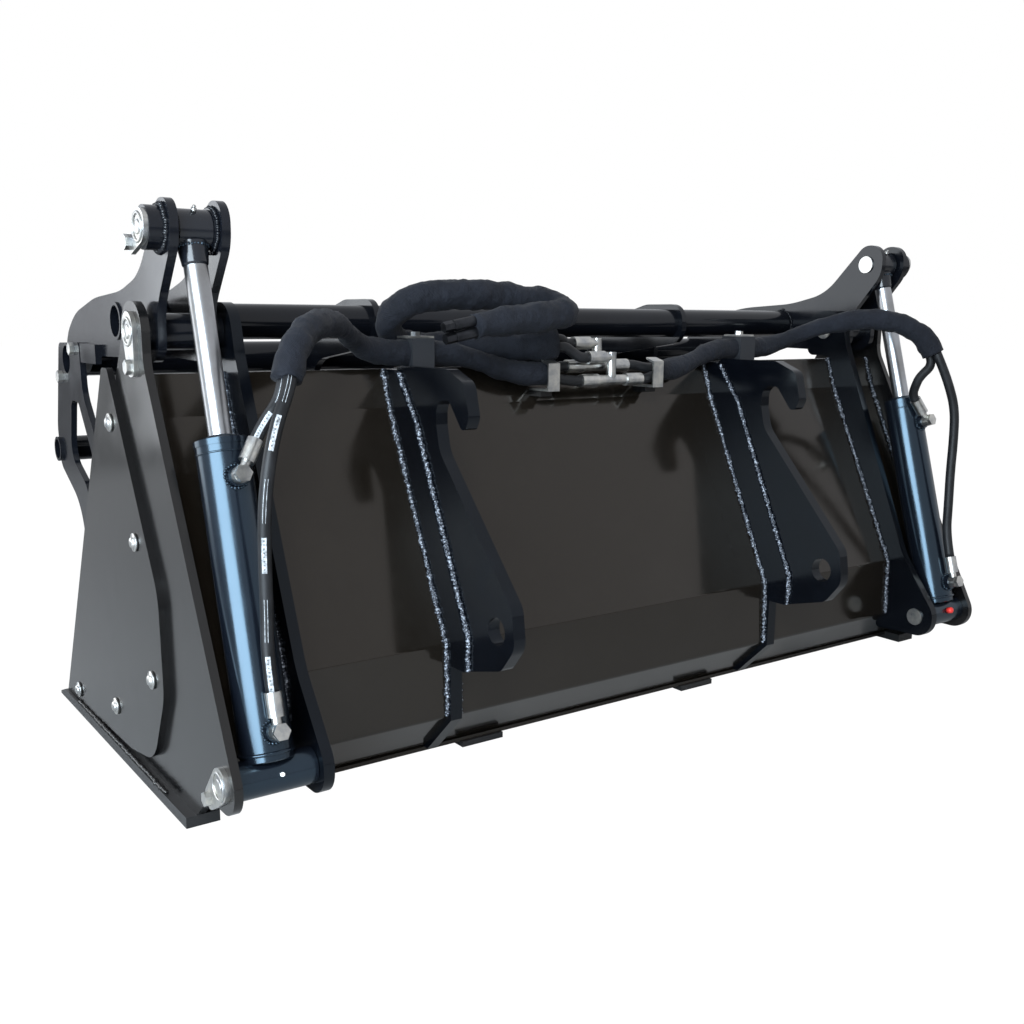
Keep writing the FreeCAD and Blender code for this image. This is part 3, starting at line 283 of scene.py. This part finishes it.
def makeRod(name):
    material, shader, base = startMaterial(name)
    place = objectPlace(base)
    end = spot(0, *ramLook["upper"])
    fromEye = base.node(
        "ShaderNodeVectorMath",
        {"operation": "DOT_PRODUCT"},
        outlet=1,
        i0=base.node("ShaderNodeVectorMath", {"operation": "SUBTRACT"}, i0=place, i1=tuple(end)),
        i1=tuple(ramWay),
    )
    painted = fromEye.above(-ramLook["blackEnd"])
    lines = base.node("ShaderNodeMapping", Vector=place, Scale=(1.0, 1.0, 60.0))
    polish = ripple(base, lines, 6.0, 4.0)
    oil = ripple(base, place, 9.0, 5.0, 0.6)
    steel = oil.ramp((0.42, 0.0), (0.7, 1.0)).between((0.4, 0.41, 0.425, 1), (0.27, 0.265, 0.26, 1))
    feed(
        shader,
        base,
        Base_Color=painted.between(steel, (0.0055, 0.0065, 0.009, 1)),
        Metallic=1 - painted,
        Roughness=polish * 0.12 + oil * 0.1 - painted * 0.12 + 0.2,
        Normal=bump(base, polish, 0.08, 0.0005),
    )
    return material


def makeHose(name, printed):
    material, shader, base = startMaterial(name)
    place = base.node("ShaderNodeTexCoord", outlet=2)
    run = base.node("ShaderNodeSeparateXYZ", outlet=0, Vector=place)
    turn = base.node("ShaderNodeSeparateXYZ", outlet=1, Vector=place)
    rubber = ripple(base, objectPlace(base), 900.0, 3.0)
    marks = ripple(base, objectPlace(base), 22.0, 5.0, 0.6)
    colour = marks.ramp((0.4, 0.0), (0.75, 1.0)).between((0.004, 0.0043, 0.005, 1), (0.011, 0.0115, 0.013, 1))
    if printed:  # plain rails and blocks along one side, no letters
        away = base.maths("ABSOLUTE", turn - 0.5, 0.0)
        pitch = base.maths("FRACT", run * 5.2, 0.0)
        label = (1 - pitch.above(0.3)) * (1 - away.above(0.06))
        hollow = (1 - away.above(0.04)) * pitch.above(0.02) * (1 - pitch.above(0.28))
        ticks = base.maths("FRACT", run * 150.0, 0.0).above(0.6) * (1 - away.above(0.022)) * hollow
        rails = pitch.above(0.42) * (1 - pitch.above(0.78)) * away.above(0.03) * (1 - away.above(0.042))
        ink = base.maths("MINIMUM", label - ticks * 0.7 + rails, 1.0)
        worn = ripple(base, objectPlace(base), 130.0, 4.0, 0.7).ramp((0.35, 0.2), (0.6, 1.0))
        colour = (ink * worn * 0.85).between(colour, (0.5, 0.53, 0.56, 1))
    feed(
        shader,
        base,
        Base_Color=colour,
        Roughness=marks * 0.2 + 0.38,
        Normal=bump(base, rubber, 0.12, 0.0006),
        Specular_IOR_Level=0.3,
    )
    return material


def makeFabric(name):
    material, shader, base = startMaterial(name)
    place = base.node("ShaderNodeTexCoord", outlet=2)
    run = base.node("ShaderNodeSeparateXYZ", outlet=0, Vector=place)
    turn = base.node("ShaderNodeSeparateXYZ", outlet=1, Vector=place)
    warp = base.maths("SINE", turn * (math.tau * 44), 0.0)
    weft = base.maths("SINE", run * (math.tau * 330), 0.0)
    weave = warp * weft * 0.5 + 0.5
    worn = ripple(base, objectPlace(base), 16.0, 6.0, 0.65)
    fuzz = ripple(base, objectPlace(base), 340.0, 3.0)
    folds = ripple(base, objectPlace(base), 42.0, 4.0, 0.6)
    sag = base.node("ShaderNodeCombineXYZ", i0=run * 30.0, i1=turn * 2.2, i2=0.0)
    creases = base.maths("ABSOLUTE", ripple(base, sag, 1.0, 3.0, 0.55) - 0.5, 0.0)
    tone = (worn * 0.5 + weave * 0.3 + fuzz * 0.2).ramp((0.3, 0.0), (0.75, 1.0))
    feed(
        shader,
        base,
        Base_Color=tone.between((0.0016, 0.002, 0.003, 1), (0.015, 0.0175, 0.025, 1)),
        Roughness=fuzz * 0.15 + 0.52,
        Normal=bump(base, weave * 0.3 + fuzz * 0.25 + folds * 2.6 + creases * 1.6, 0.9, 0.003),
    )
    shader.inputs["Specular IOR Level"].default_value = 0.14
    shader.inputs["Sheen Weight"].default_value = 0.03
    shader.inputs["Sheen Roughness"].default_value = 0.4
    return material


def makePlain(name, colour, rough):
    material, shader, base = startMaterial(name)
    place = objectPlace(base)
    mottle = ripple(base, place, 60.0, 5.0, 0.6)
    light = tuple(min(1.0, channel * 1.7 + 0.004) for channel in colour)
    feed(
        shader,
        base,
        Base_Color=mottle.between(shade(colour), shade(light)),
        Roughness=mottle * 0.2 + (rough - 0.1),
        Normal=bump(base, ripple(base, place, 500.0, 2.0), 0.15, 0.0006),
    )
    return material


paints = {name: makePaint(name + "Paint", look) for name, look in paintLook.items() if name != "weld"}
# For the weld beads the light tone and the dense specks are painted glints.
paints["weld"] = makePaint("weldPaint", paintLook["weld"], 0.12, 0.85)
darkSteel = makeMetal("darkSteel", (0.06, 0.063, 0.07), (0.03, 0.031, 0.035), 0.4, 0.1)
zinc = makeMetal("zincPlate", (0.68, 0.66, 0.6), (0.36, 0.37, 0.38), 0.32, 0.08)
rodChrome = makeRod("rodChrome")
hoseRubber = makeHose("hoseRubber", False)
hosePrinted = makeHose("hosePrinted", True)
sleeveFabric = makeFabric("sleeveFabric")
clampPlastic = makePlain("clampPlastic", (0.005, 0.006, 0.008), 0.55)
capWhite = makePlain("capWhite", (0.6, 0.6, 0.57), 0.45)
capRed = makePlain("capRed", (0.42, 0.02, 0.015), 0.4)
print("materials made")


# ---- hoses and sleeves
hoseRoutes = {
    "hose_left_high": [(-868, -122, 698), (-858, -134, 718)],
    "hose_left_low": [(-916, -204, 400), (-914, -198, 484), (-912, -200, 568), (-902, -202, 640), (-880, -186, 696)],
    "hose_right_high": [(870, -120, 698), (868, -132, 722)],
    "hose_right_low": [(920, -208, 400), (922, -204, 484), (924, -204, 568), (918, -204, 644), (898, -194, 706)],
}
portLook = {"low": 72.0, "high": 488.0, "behind": 63.0, "ferrule": 64.0, "lean": 32.0, "lowRun": 58.0, "highRun": 16.0}
sleeveRoutes = {
    "sleeve_left": [
        (-846, -152, 760),
        (-832, -138, 796),
        (-800, -108, 828),
        (-752, -68, 848),
        (-696, -15, 850),
        (-640, 42, 832),
        (-590, 84, 804),
        (-530, 98, 790),
        (-394, 98, 790),
        (-326, 92, 776),
        (-268, 82, 756),
        (-212, 74, 745),
        (-158, 70, 742),
    ],
    "sleeve_right": [
        (868, -164, 778),
        (856, -150, 816),
        (818, -118, 848),
        (766, -74, 864),
        (704, -18, 856),
        (644, 42, 832),
        (590, 84, 804),
        (530, 98, 790),
        (394, 98, 790),
        (326, 92, 776),
        (268, 82, 756),
        (212, 74, 745),
        (160, 70, 742),
    ],
    "supply_sleeve": [
        (-132, 72, 806),
        (-178, 82, 802),
        (-228, 104, 798),
        (-286, 138, 796),
        (-348, 158, 798),
        (-408, 164, 804),
        (-462, 160, 812),
        (-494, 146, 834),
        (-500, 124, 862),
        (-478, 104, 886),
        (-436, 90, 900),
        (-378, 80, 904),
        (-318, 76, 904),
        (-262, 74, 902),
        (-212, 73, 897),
        (-166, 62, 889),
        (-146, 26, 879),
        (-166, -11, 869),
        (-212, -22, 863),
        (-270, -23, 859),
        (-344, -22, 852),
        (-398, -22, 842),
    ],
}
hoseLook = {
    "hoseRadius": 0.011, "printSide": (-0.45, -0.85, 0.1), "smallWave": 70.0, "bigWave": 26.0,
    "pinchDepth": 0.2, "pinchRun": 0.05, "cuffRise": 0.1, "cuffRun": 0.05,
}
clothLook = {
    "sleeve_left": {
        "radius": 0.0242,
        "tall": 1.04,
        "wide": 0.98,
        "big": 0.14,
        "small": 0.09,
        "pinch": (0.35, 0.44, 0.8),
    },
    "sleeve_right": {
        "radius": 0.0242,
        "tall": 1.04,
        "wide": 0.98,
        "big": 0.14,
        "small": 0.09,
        "pinch": (0.37, 0.46, 0.82),
    },
    "supply_sleeve": {"radius": 0.0275, "tall": 1.08, "wide": 0.94, "big": 0.16, "small": 0.1, "pinch": (0.3, 0.98)},
}


def splineObject(name, points, radius):
    data = bpy.data.curves.new(name, "CURVE")
    data.dimensions = "3D"
    spline = data.splines.new("NURBS")
    spline.points.add(len(points) - 1)
    for point, place in zip(spline.points, points):
        point.co = (*place, 1)
    spline.use_endpoint_u = True
    spline.order_u = 3
    spline.resolution_u = 10
    data.bevel_depth = radius
    data.bevel_resolution = 8
    item = bpy.data.objects.new(name, data)
    scene.collection.objects.link(item)
    return item


def readSpline(item):
    depth = item.data.bevel_depth
    item.data.bevel_depth = 0
    mesh = bpy.data.meshes.new_from_object(item)
    item.data.bevel_depth = depth
    places = [vertex.co.copy() for vertex in mesh.vertices]
    bpy.data.meshes.remove(mesh)
    return sum((b - a).length for a, b in zip(places, places[1:])), places


def tubePiece(name, points, radius, material, look=None):
    line = splineObject(name + "Line", points, radius)
    length, path = readSpline(line)
    mesh = bpy.data.meshes.new_from_object(line)
    bpy.data.objects.remove(line)
    mesh.name = name
    around = len(mesh.vertices) // len(path)
    side = Vector(hoseLook["printSide"]).normalized()
    runs, turns = [], []
    run = 0.0
    for ring, centre in enumerate(path):
        ahead = path[min(ring + 1, len(path) - 1)] - path[max(ring - 1, 0)]
        ahead.normalize()
        run += (centre - path[ring - 1]).length if ring else 0.0
        front = (side - ahead * side.dot(ahead)).normalized()
        beside = ahead.cross(front)
        for index in range(around):
            vertex = mesh.vertices[ring * around + index]
            offset = vertex.co - centre
            runs.append(run)
            turns.append(math.atan2(offset.dot(beside), offset.dot(front)) / math.tau + 0.5)
            if look:
                wave = noise.noise(vertex.co * hoseLook["bigWave"]) * look["big"]
                wave += noise.noise(vertex.co * hoseLook["smallWave"]) * look["small"]
                for share in look["pinch"]:
                    wave -= hoseLook["pinchDepth"] * math.exp(-(((run - share * length) / hoseLook["pinchRun"]) ** 2))
                wave += hoseLook["cuffRise"] * math.exp(-((run / hoseLook["cuffRun"]) ** 2))
                offset = offset * (1 + wave)
                offset.z *= look["tall"]
                offset -= beside * offset.dot(beside) * (1 - look["wide"]) if abs(beside.z) < 0.5 else Vector()
                vertex.co = centre + offset
    layer = mesh.uv_layers.active or mesh.uv_layers.new(name="UVMap")
    for face in mesh.polygons:
        face.use_smooth = True
        faceTurns = [turns[mesh.loops[corner].vertex_index] for corner in face.loop_indices]
        wrap = max(faceTurns) - min(faceTurns) > 0.5 and len(faceTurns) == 4
        for corner, turn in zip(face.loop_indices, faceTurns):
            turnRound = turn + (1.0 if wrap and turn < 0.5 else 0.0)
            layer.data[corner].uv = (runs[mesh.loops[corner].vertex_index], turnRound)
    shape = bmesh.new()
    shape.from_mesh(mesh)
    bmesh.ops.holes_fill(shape, edges=shape.edges, sides=0)
    shape.to_mesh(mesh)
    shape.free()
    mesh.materials.clear()
    mesh.materials.append(material)
    item = bpy.data.objects.new(name, mesh)
    scene.collection.objects.link(item)
    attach(item, "bucket")
    return item, length, path


def mouths(points, run):
    ahead = (points[1] - points[0]).normalized()
    aside = Vector((0, 1, 0))
    aside = (aside - ahead * ahead.dot(aside)).normalized() * hoseLook["hoseRadius"]
    ends = (points[0] + aside, points[0] - aside)
    return [[end - ahead * run, end] for end in ends]


def portExit(side, level):
    lean = math.radians(portLook["lean"] if level == "high" else 0)
    ends = []
    for reach in (portLook["ferrule"], portLook["ferrule"] + portLook[level + "Run"]):
        along = portLook[level] + reach * math.cos(lean)
        ends.append(ramSpot(side, along, portLook["behind"], reach * math.sin(lean)))
    return ends


def makeHoses():
    for name, side in (("left", -1), ("right", 1)):
        sleeve = [spot(*place) for place in sleeveRoutes["sleeve_" + name]]
        for level, mouth in zip(("high", "low"), mouths(sleeve, 0.024)):
            node = "hose_%s_%s" % (name, level)
            points = portExit(side, level) + [spot(*place) for place in hoseRoutes[node]] + mouth
            rubber = hosePrinted if side < 0 else hoseRubber
            item, length, path = tubePiece("%sHose%s" % (level, name.title()), points, hoseLook["hoseRadius"], rubber)
            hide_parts(node)
            level == "low"


def makeSleeves():
    for node, route in sleeveRoutes.items():
        points = [spot(*place) for place in route]
        look = clothLook[node]
        item, length, path = tubePiece(node.replace("_", "") + "Cloth", points, look["radius"], sleeveFabric, look)
        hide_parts(node)


makeHoses()
makeSleeves()
print("hoses made")


# ---- turned and welded details
def finishPiece(name, shape, material, body, smooth=True):
    bmesh.ops.remove_doubles(shape, verts=shape.verts, dist=0.00002)
    bmesh.ops.recalc_face_normals(shape, faces=shape.faces)
    mesh = bpy.data.meshes.new(name)
    shape.to_mesh(mesh)
    shape.free()
    for face in mesh.polygons:
        face.use_smooth = smooth
    mesh.materials.append(material)
    item = bpy.data.objects.new(name, mesh)
    scene.collection.objects.link(item)
    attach(item, body)
    return item


def spinProfile(shape, profile, foot, axis, steps=28):
    axis = Vector(axis).normalized()
    aside = axis.orthogonal().normalized()
    line = [shape.verts.new(foot + axis * height + aside * radius) for radius, height in profile]
    rim = [shape.edges.new(pair) for pair in zip(line, line[1:])]
    bmesh.ops.spin(
        shape, geom=line + rim, cent=foot, axis=axis, angle=math.tau, steps=steps, use_merge=True, use_duplicate=False
    )


def addBead(shape, points, radius, step, seed):
    count = 0
    for start, end in zip(points, points[1:]):
        way = end - start
        pieces = max(1, round(way.length / step))
        for index in range(pieces):
            count += 1
            lanes = (Vector((count * 0.71, seed, lane)) for lane in (0.3, 7.4, 14.5))
            shift = Vector([noise.noise(lane) for lane in lanes]) * radius * 0.45
            size = radius * (1 + 0.5 * noise.noise(Vector((seed, count * 0.53, 1.7))))
            turn = way.to_track_quat("X", "Z").to_matrix().to_4x4()
            flat = Matrix.Diagonal((0.75, 1.1, 1.0, 1))
            place = Matrix.Translation(start + way * (index / pieces) + shift) @ turn @ flat
            bmesh.ops.create_icosphere(shape, subdivisions=1, radius=size, matrix=place)


def ringPoints(centre, axis, radius, count=30):
    aside = Vector(axis).normalized().orthogonal().normalized() * radius
    return [centre + Matrix.Rotation(math.tau * index / count, 3, Vector(axis)) @ aside for index in range(count + 1)]


weldLook = {
    "wallLine": [(122.6, 757), (97.5, 684.7), (-107.7, 253.2), (-112.5, 110)],
    "ribLine": [(74, 752), (11, 666), (-170, 282), (-170, 214)],
    "ribFaces": ((-519, -494), (363, 388)),
    "earFaces": ((-846, -826), (826, 846)),
    "radius": 0.0052,
    "step": 0.0038,
}


def makeBucketWelds(look):
    shape = bmesh.new()
    for leftFace, rightFace in look["ribFaces"]:
        for x in (leftFace - 1.5, rightFace + 1.5):
            points = [spot(x, y - 3, z) for y, z in look["wallLine"]]
            addBead(shape, points, look["radius"], look["step"], x)
        addBead(
            shape, [spot(leftFace + 7, y - 2, z) for y, z in look["ribLine"]], look["radius"], look["step"], leftFace
        )
        addBead(
            shape, [spot(rightFace + 3, y + 2, z) for y, z in look["ribLine"]], look["radius"], look["step"], rightFace
        )
    for leftFace, rightFace in look["earFaces"]:
        for x in (leftFace - 1.5, rightFace + 1.5):
            points = [spot(x, y - 3, z) for y, z in look["wallLine"]]
            addBead(shape, points, look["radius"], look["step"], x)
    for x in (-983.5, 983.5):
        addBead(shape, [spot(x, y - 3, z) for y, z in look["wallLine"]], look["radius"], look["step"], x)
    finishPiece("bucketWelds", shape, paints["weld"], "bucket")
    shape = bmesh.new()
    for x in (-1013.5, 1013.5):
        addBead(shape, [spot(x, 48, 21), spot(x, 622, 21)], 0.0048, 0.0036, x)
    finishPiece("runnerWelds", shape, paints["frame"], "bucket")


jawWeldLook = {"radius": 0.0035, "step": 0.0036}


def makeJawWelds(look):
    shape = bmesh.new()
    seat = ramLook["upper"]
    for side in (-1, 1):
        addBead(shape, ringPoints(spot(side * 972.5, *seat), (1, 0, 0), 0.0375), 0.0055, 0.0035, side)
        addBead(shape, ringPoints(spot(side * 886, *seat), (1, 0, 0), 0.0372), 0.0035, 0.0035, side * 2)
        for x, reach in ((866.5, -1), (886.5, 1)):
            addBead(shape, ringPoints(spot(side * x, 322, 848), (1, 0, 0), 0.037), look["radius"], look["step"], x)
        addBead(
            shape, ringPoints(spot(side * 954.5, 322, 848), (1, 0, 0), 0.037), look["radius"], look["step"], side * 3
        )
    finishPiece("jawWelds", shape, paints["jaw"], "jaw")


def makeRodWelds():
    for name, side in (("left", -1), ("right", 1)):
        shape = bmesh.new()
        addBead(shape, ringPoints(ramSpot(side, ramLength - 31), ramWay, 0.0245), 0.0036, 0.006, side)
        finishPiece("rodWeld" + name.title(), shape, paints["ram"], "rod_" + name)


makeBucketWelds(weldLook)
makeJawWelds(jawWeldLook)
makeRodWelds()
print("welds made")

boltLook = {
    "places": [(259, 666), (150, 461), (94, 219), (334, 98), (621, 50)],
    "profile": [(0, 10.5), (4, 10.3), (8, 9.2), (10.5, 7.0), (11.2, 4.6), (16.6, 4.2), (17, 3.4), (17, 0.2), (0, 0.2)],
}


def makeCoverBolts(look):
    shape = bmesh.new()
    profile = [(radius / 1000, height / 1000) for radius, height in look["profile"]]
    for side in (-1, 1):
        for y, z in look["places"]:
            spinProfile(shape, profile, spot(side * 1012 if y > 60 else side * 1000, y, z), (side, 0, 0))
    item = finishPiece("coverBolts", shape, zinc, "bucket")
    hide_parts("cover_bolts")


nippleLook = {
    "profile": [(0, 12), (2.2, 12), (3.2, 10.6), (2.0, 9), (2.0, 7.4), (4.6, 7), (4.6, 0), (0, 0)],
    "capLeft": [(0, 7), (2.4, 6.6), (3.6, 5.2), (3.8, 0), (0, 0)],
    "capRight": [(0, 14), (5.2, 13.4), (7.6, 10.8), (8.2, 0), (0, 0)],
}


def scaled(profile):
    return [(radius / 1000, height / 1000) for radius, height in profile]


def makeNipples(look):
    for name, side in (("left", -1), ("right", 1)):
        shape = bmesh.new()
        aim = Vector((0, -0.55, 0.83)).normalized()
        seat = spot(side * ramLook["x"], *ramLook["upper"])
        spinProfile(shape, scaled(look["profile"]), seat + aim * 0.0325, aim, 16)
        finishPiece("eyeNipple" + name.title(), shape, zinc, "rod_" + name)
        cap = bmesh.new()
        seat = spot(side * (912 if side < 0 else 920), *ramLook["lower"])
        aim = Vector((0, -0.96, 0.28)).normalized()
        spinProfile(cap, scaled(look["cap" + name.title()]), seat + aim * 0.0318, aim, 20)
        finishPiece("bushCap" + name.title(), cap, capWhite if side < 0 else capRed, "barrel_" + name)


ramRingLook = {
    "groove": [(45.6, 0), (46.2, 0.8), (46.2, 2.2), (45.6, 3.0), (43.5, 3.0), (43.5, 0), (45.6, 0)],
    "wiper": [(20.6, 0), (20.6, 6), (24.5, 6), (27, 4.5), (28, 0), (20.6, 0)],
    "foot": [(44.0, 0), (47.5, 1.5), (47.5, 5), (44.0, 7), (43.0, 7), (43.0, 0), (44.0, 0)],
}


def makeRamRings(look):
    for name, side in (("left", -1), ("right", 1)):
        shape = bmesh.new()
        spinProfile(shape, scaled(look["groove"]), ramSpot(side, 531), ramWay, 48)
        spinProfile(shape, scaled(look["foot"]), ramSpot(side, 34), ramWay, 48)
        spinProfile(shape, scaled(look["wiper"]), ramSpot(side, 556.5), ramWay, 40)
        for distance in (portLook["low"], portLook["high"]):
            addBead(shape, ringPoints(ramSpot(side, distance, 44.5), ramBack, 0.0195, 24), 0.0036, 0.006, side)
        finishPiece("ramRings" + name.title(), shape, paints["ram"], "barrel_" + name)


flagLook = {
    "rim": [(19, 0), (20.5, 2.6), (24.5, 2.6), (26, 0), (19, 0)],
    "button": [(0, 2.2), (9, 2.0), (12.5, 1.0), (13, 0), (0, 0)],
}


def makeFlagRims(look):
    shape, jawShape = bmesh.new(), bmesh.new()
    for side in (-1, 1):
        for target, y, z in ((shape, 138.6, 831.2), (shape, *ramLook["lower"]), (jawShape, *ramLook["upper"])):
            foot = spot(side * 1007.8, y, z)
            spinProfile(target, scaled(look["rim"]), foot, (side, 0, 0), 36)
            spinProfile(target, scaled(look["button"]), foot, (side, 0, 0), 30)
    finishPiece("bucketFlagRims", shape, zinc, "bucket")
    finishPiece("jawFlagRims", jawShape, zinc, "jaw")


makeCoverBolts(boltLook)
makeNipples(nippleLook)
makeRamRings(ramRingLook)
makeFlagRims(flagLook)
print("details made")

# ---- finishes on the construction's own pieces
nodeFinish = {
    "wall": ["back_wall", "floor_plate"],
    "edge": ["cutting_edge", "runner_left", "runner_right", "skid_feet"],
    "ram": ["barrel_left", "barrel_right", "gland_left", "gland_right"],
    "rib": [
        "hook_rib_left", "hook_rib_right", "hook_plate_left", "hook_plate_right", "ear_plate_left", "ear_plate_right",
    ],
    "jaw": [
        "main_tube", "middle_tube", "front_tube", "arm_outer_left", "arm_outer_right", "arm_inner_left",
        "arm_inner_right", "jaw_hubs", "arm_bosses", "end_tine_left", "end_tine_right", "long_tine_left",
        "long_tine_centre", "long_tine_right", "short_tines", "tine_stops",
    ],
}
slotMaterial = {
    "black_paint": paints["frame"],
    "edge_paint": paints["edge"],
    "ram_paint": paints["ram"],
    "chrome_rod": rodChrome,
    "zinc": zinc,
    "clamp_plastic": clampPlastic,
    "hose_rubber": hoseRubber,
    "sleeve_fabric": sleeveFabric,
}
for row in frame["record"]["subparts"]:
    piece = frame["nodes"][row["node"]]
    finish = slotMaterial[row["material_slot"]]
    for name, names in nodeFinish.items():
        if row["node"] in names:
            finish = paints[name]
    if row["node"] == "supply_fittings":
        finish = darkSteel
    piece.data.materials.clear()
    piece.data.materials.append(finish)
    edges = piece.modifiers.new("softEdges", "BEVEL")
    edges.width = 0.0012
    edges.segments = 2
    edges.limit_method = "ANGLE"
    edges.angle_limit = math.radians(40)
print("finishes set")

# ---- light, floor and backdrop
stageLook = {"floorTone": 0.4, "floorSeen": 0.97, "floorDrop": 0.0006, "skyTone": (0.72, 0.74, 0.78), "fillTone": 0.22}


def makeStage(look):
    bpy.ops.mesh.primitive_plane_add(size=60, location=(0, 0, -look["floorDrop"]))
    floor = bpy.context.object
    floor.name = "studioFloor"
    material, shader, base = startMaterial("studioFloor")
    tone = look["floorTone"]
    feed(shader, base, Base_Color=(tone, tone, tone, 1), Roughness=0.9)
    output = next(node for node in base.tree.nodes if node.type == "OUTPUT_MATERIAL")
    glow = base.tree.nodes.new("ShaderNodeEmission")
    glow.inputs[0].default_value = (1, 1, 1, 1)
    glow.inputs[1].default_value = 1.04
    mix = base.tree.nodes.new("ShaderNodeMixShader")
    seen = base.node("ShaderNodeLightPath", outlet=0)
    base.tree.links.new((seen * look["floorSeen"]).socket, mix.inputs[0])
    base.tree.links.new(shader.outputs[0], mix.inputs[1])
    base.tree.links.new(glow.outputs[0], mix.inputs[2])
    base.tree.links.new(mix.outputs[0], output.inputs[0])
    floor.data.materials.append(material)
    world = bpy.data.worlds.new("studioWorld")
    world.use_nodes = True
    tree = world.node_tree
    background = tree.nodes["Background"]
    air = Wire(tree, None)
    seen = air.node("ShaderNodeLightPath", outlet=0)
    mirrored = air.node("ShaderNodeLightPath", outlet=3)
    fill = look["fillTone"]
    colour = mirrored.between((fill, fill, fill * 1.04, 1), shade(look["skyTone"]))
    colour = seen.between(colour, (1, 1, 1, 1))
    tree.links.new(colour.socket, background.inputs[0])
    background.inputs[1].default_value = 1.0
    scene.world = world


lampLook = {
    "windowStrip": {
        "place": (-3.3, -1.9, 1.3),
        "aim": (-0.6, -0.2, 0.6),
        "size": (2.6, 2.4),
        "power": 300,
        "seen": True,
        "tint": (0.76, 0.89, 1.0),
    },
    "sideCard": {
        "place": (-3.6, 3.2, 1.35),
        "aim": (-1.0, 0.0, 0.6),
        "size": (3.2, 2.5),
        "power": 75,
        "seen": True,
        "tint": (0.9, 0.95, 1.0),
    },
    "keySoft": {
        "place": (-2.4, -3.8, 3.6),
        "aim": (0, 0, 0.4),
        "size": (1.1, 1.1),
        "power": 190,
        "seen": False,
        "tint": (1.0, 1.0, 1.0),
    },
    "topSoft": {
        "place": (0.4, 0.8, 4.4),
        "aim": (0, 0, 0.5),
        "size": (3.0, 1.0),
        "power": 45,
        "seen": False,
        "tint": (0.93, 0.96, 1.0),
    },
    "rightFill": {
        "place": (3.8, -3.2, 2.2),
        "aim": (0.4, 0, 0.5),
        "size": (1.6, 2.2),
        "power": 60,
        "seen": False,
        "tint": (1.0, 0.97, 0.93),
    },
}


def makeLamp(name, look):
    data = bpy.data.lights.new(name, "AREA")
    data.shape = "RECTANGLE"
    data.size, data.size_y = look["size"]
    data.energy = look["power"]
    data.color = look["tint"]
    lamp = bpy.data.objects.new(name, data)
    scene.collection.objects.link(lamp)
    lamp.location = look["place"]
    lamp.rotation_euler = (Vector(look["aim"]) - Vector(look["place"])).to_track_quat("-Z", "Y").to_euler()
    lamp.visible_glossy = look["seen"]


makeStage(stageLook)
for name, look in lampLook.items():
    makeLamp(name, look)
scene.view_settings.view_transform = "Standard"
print("stage lit")
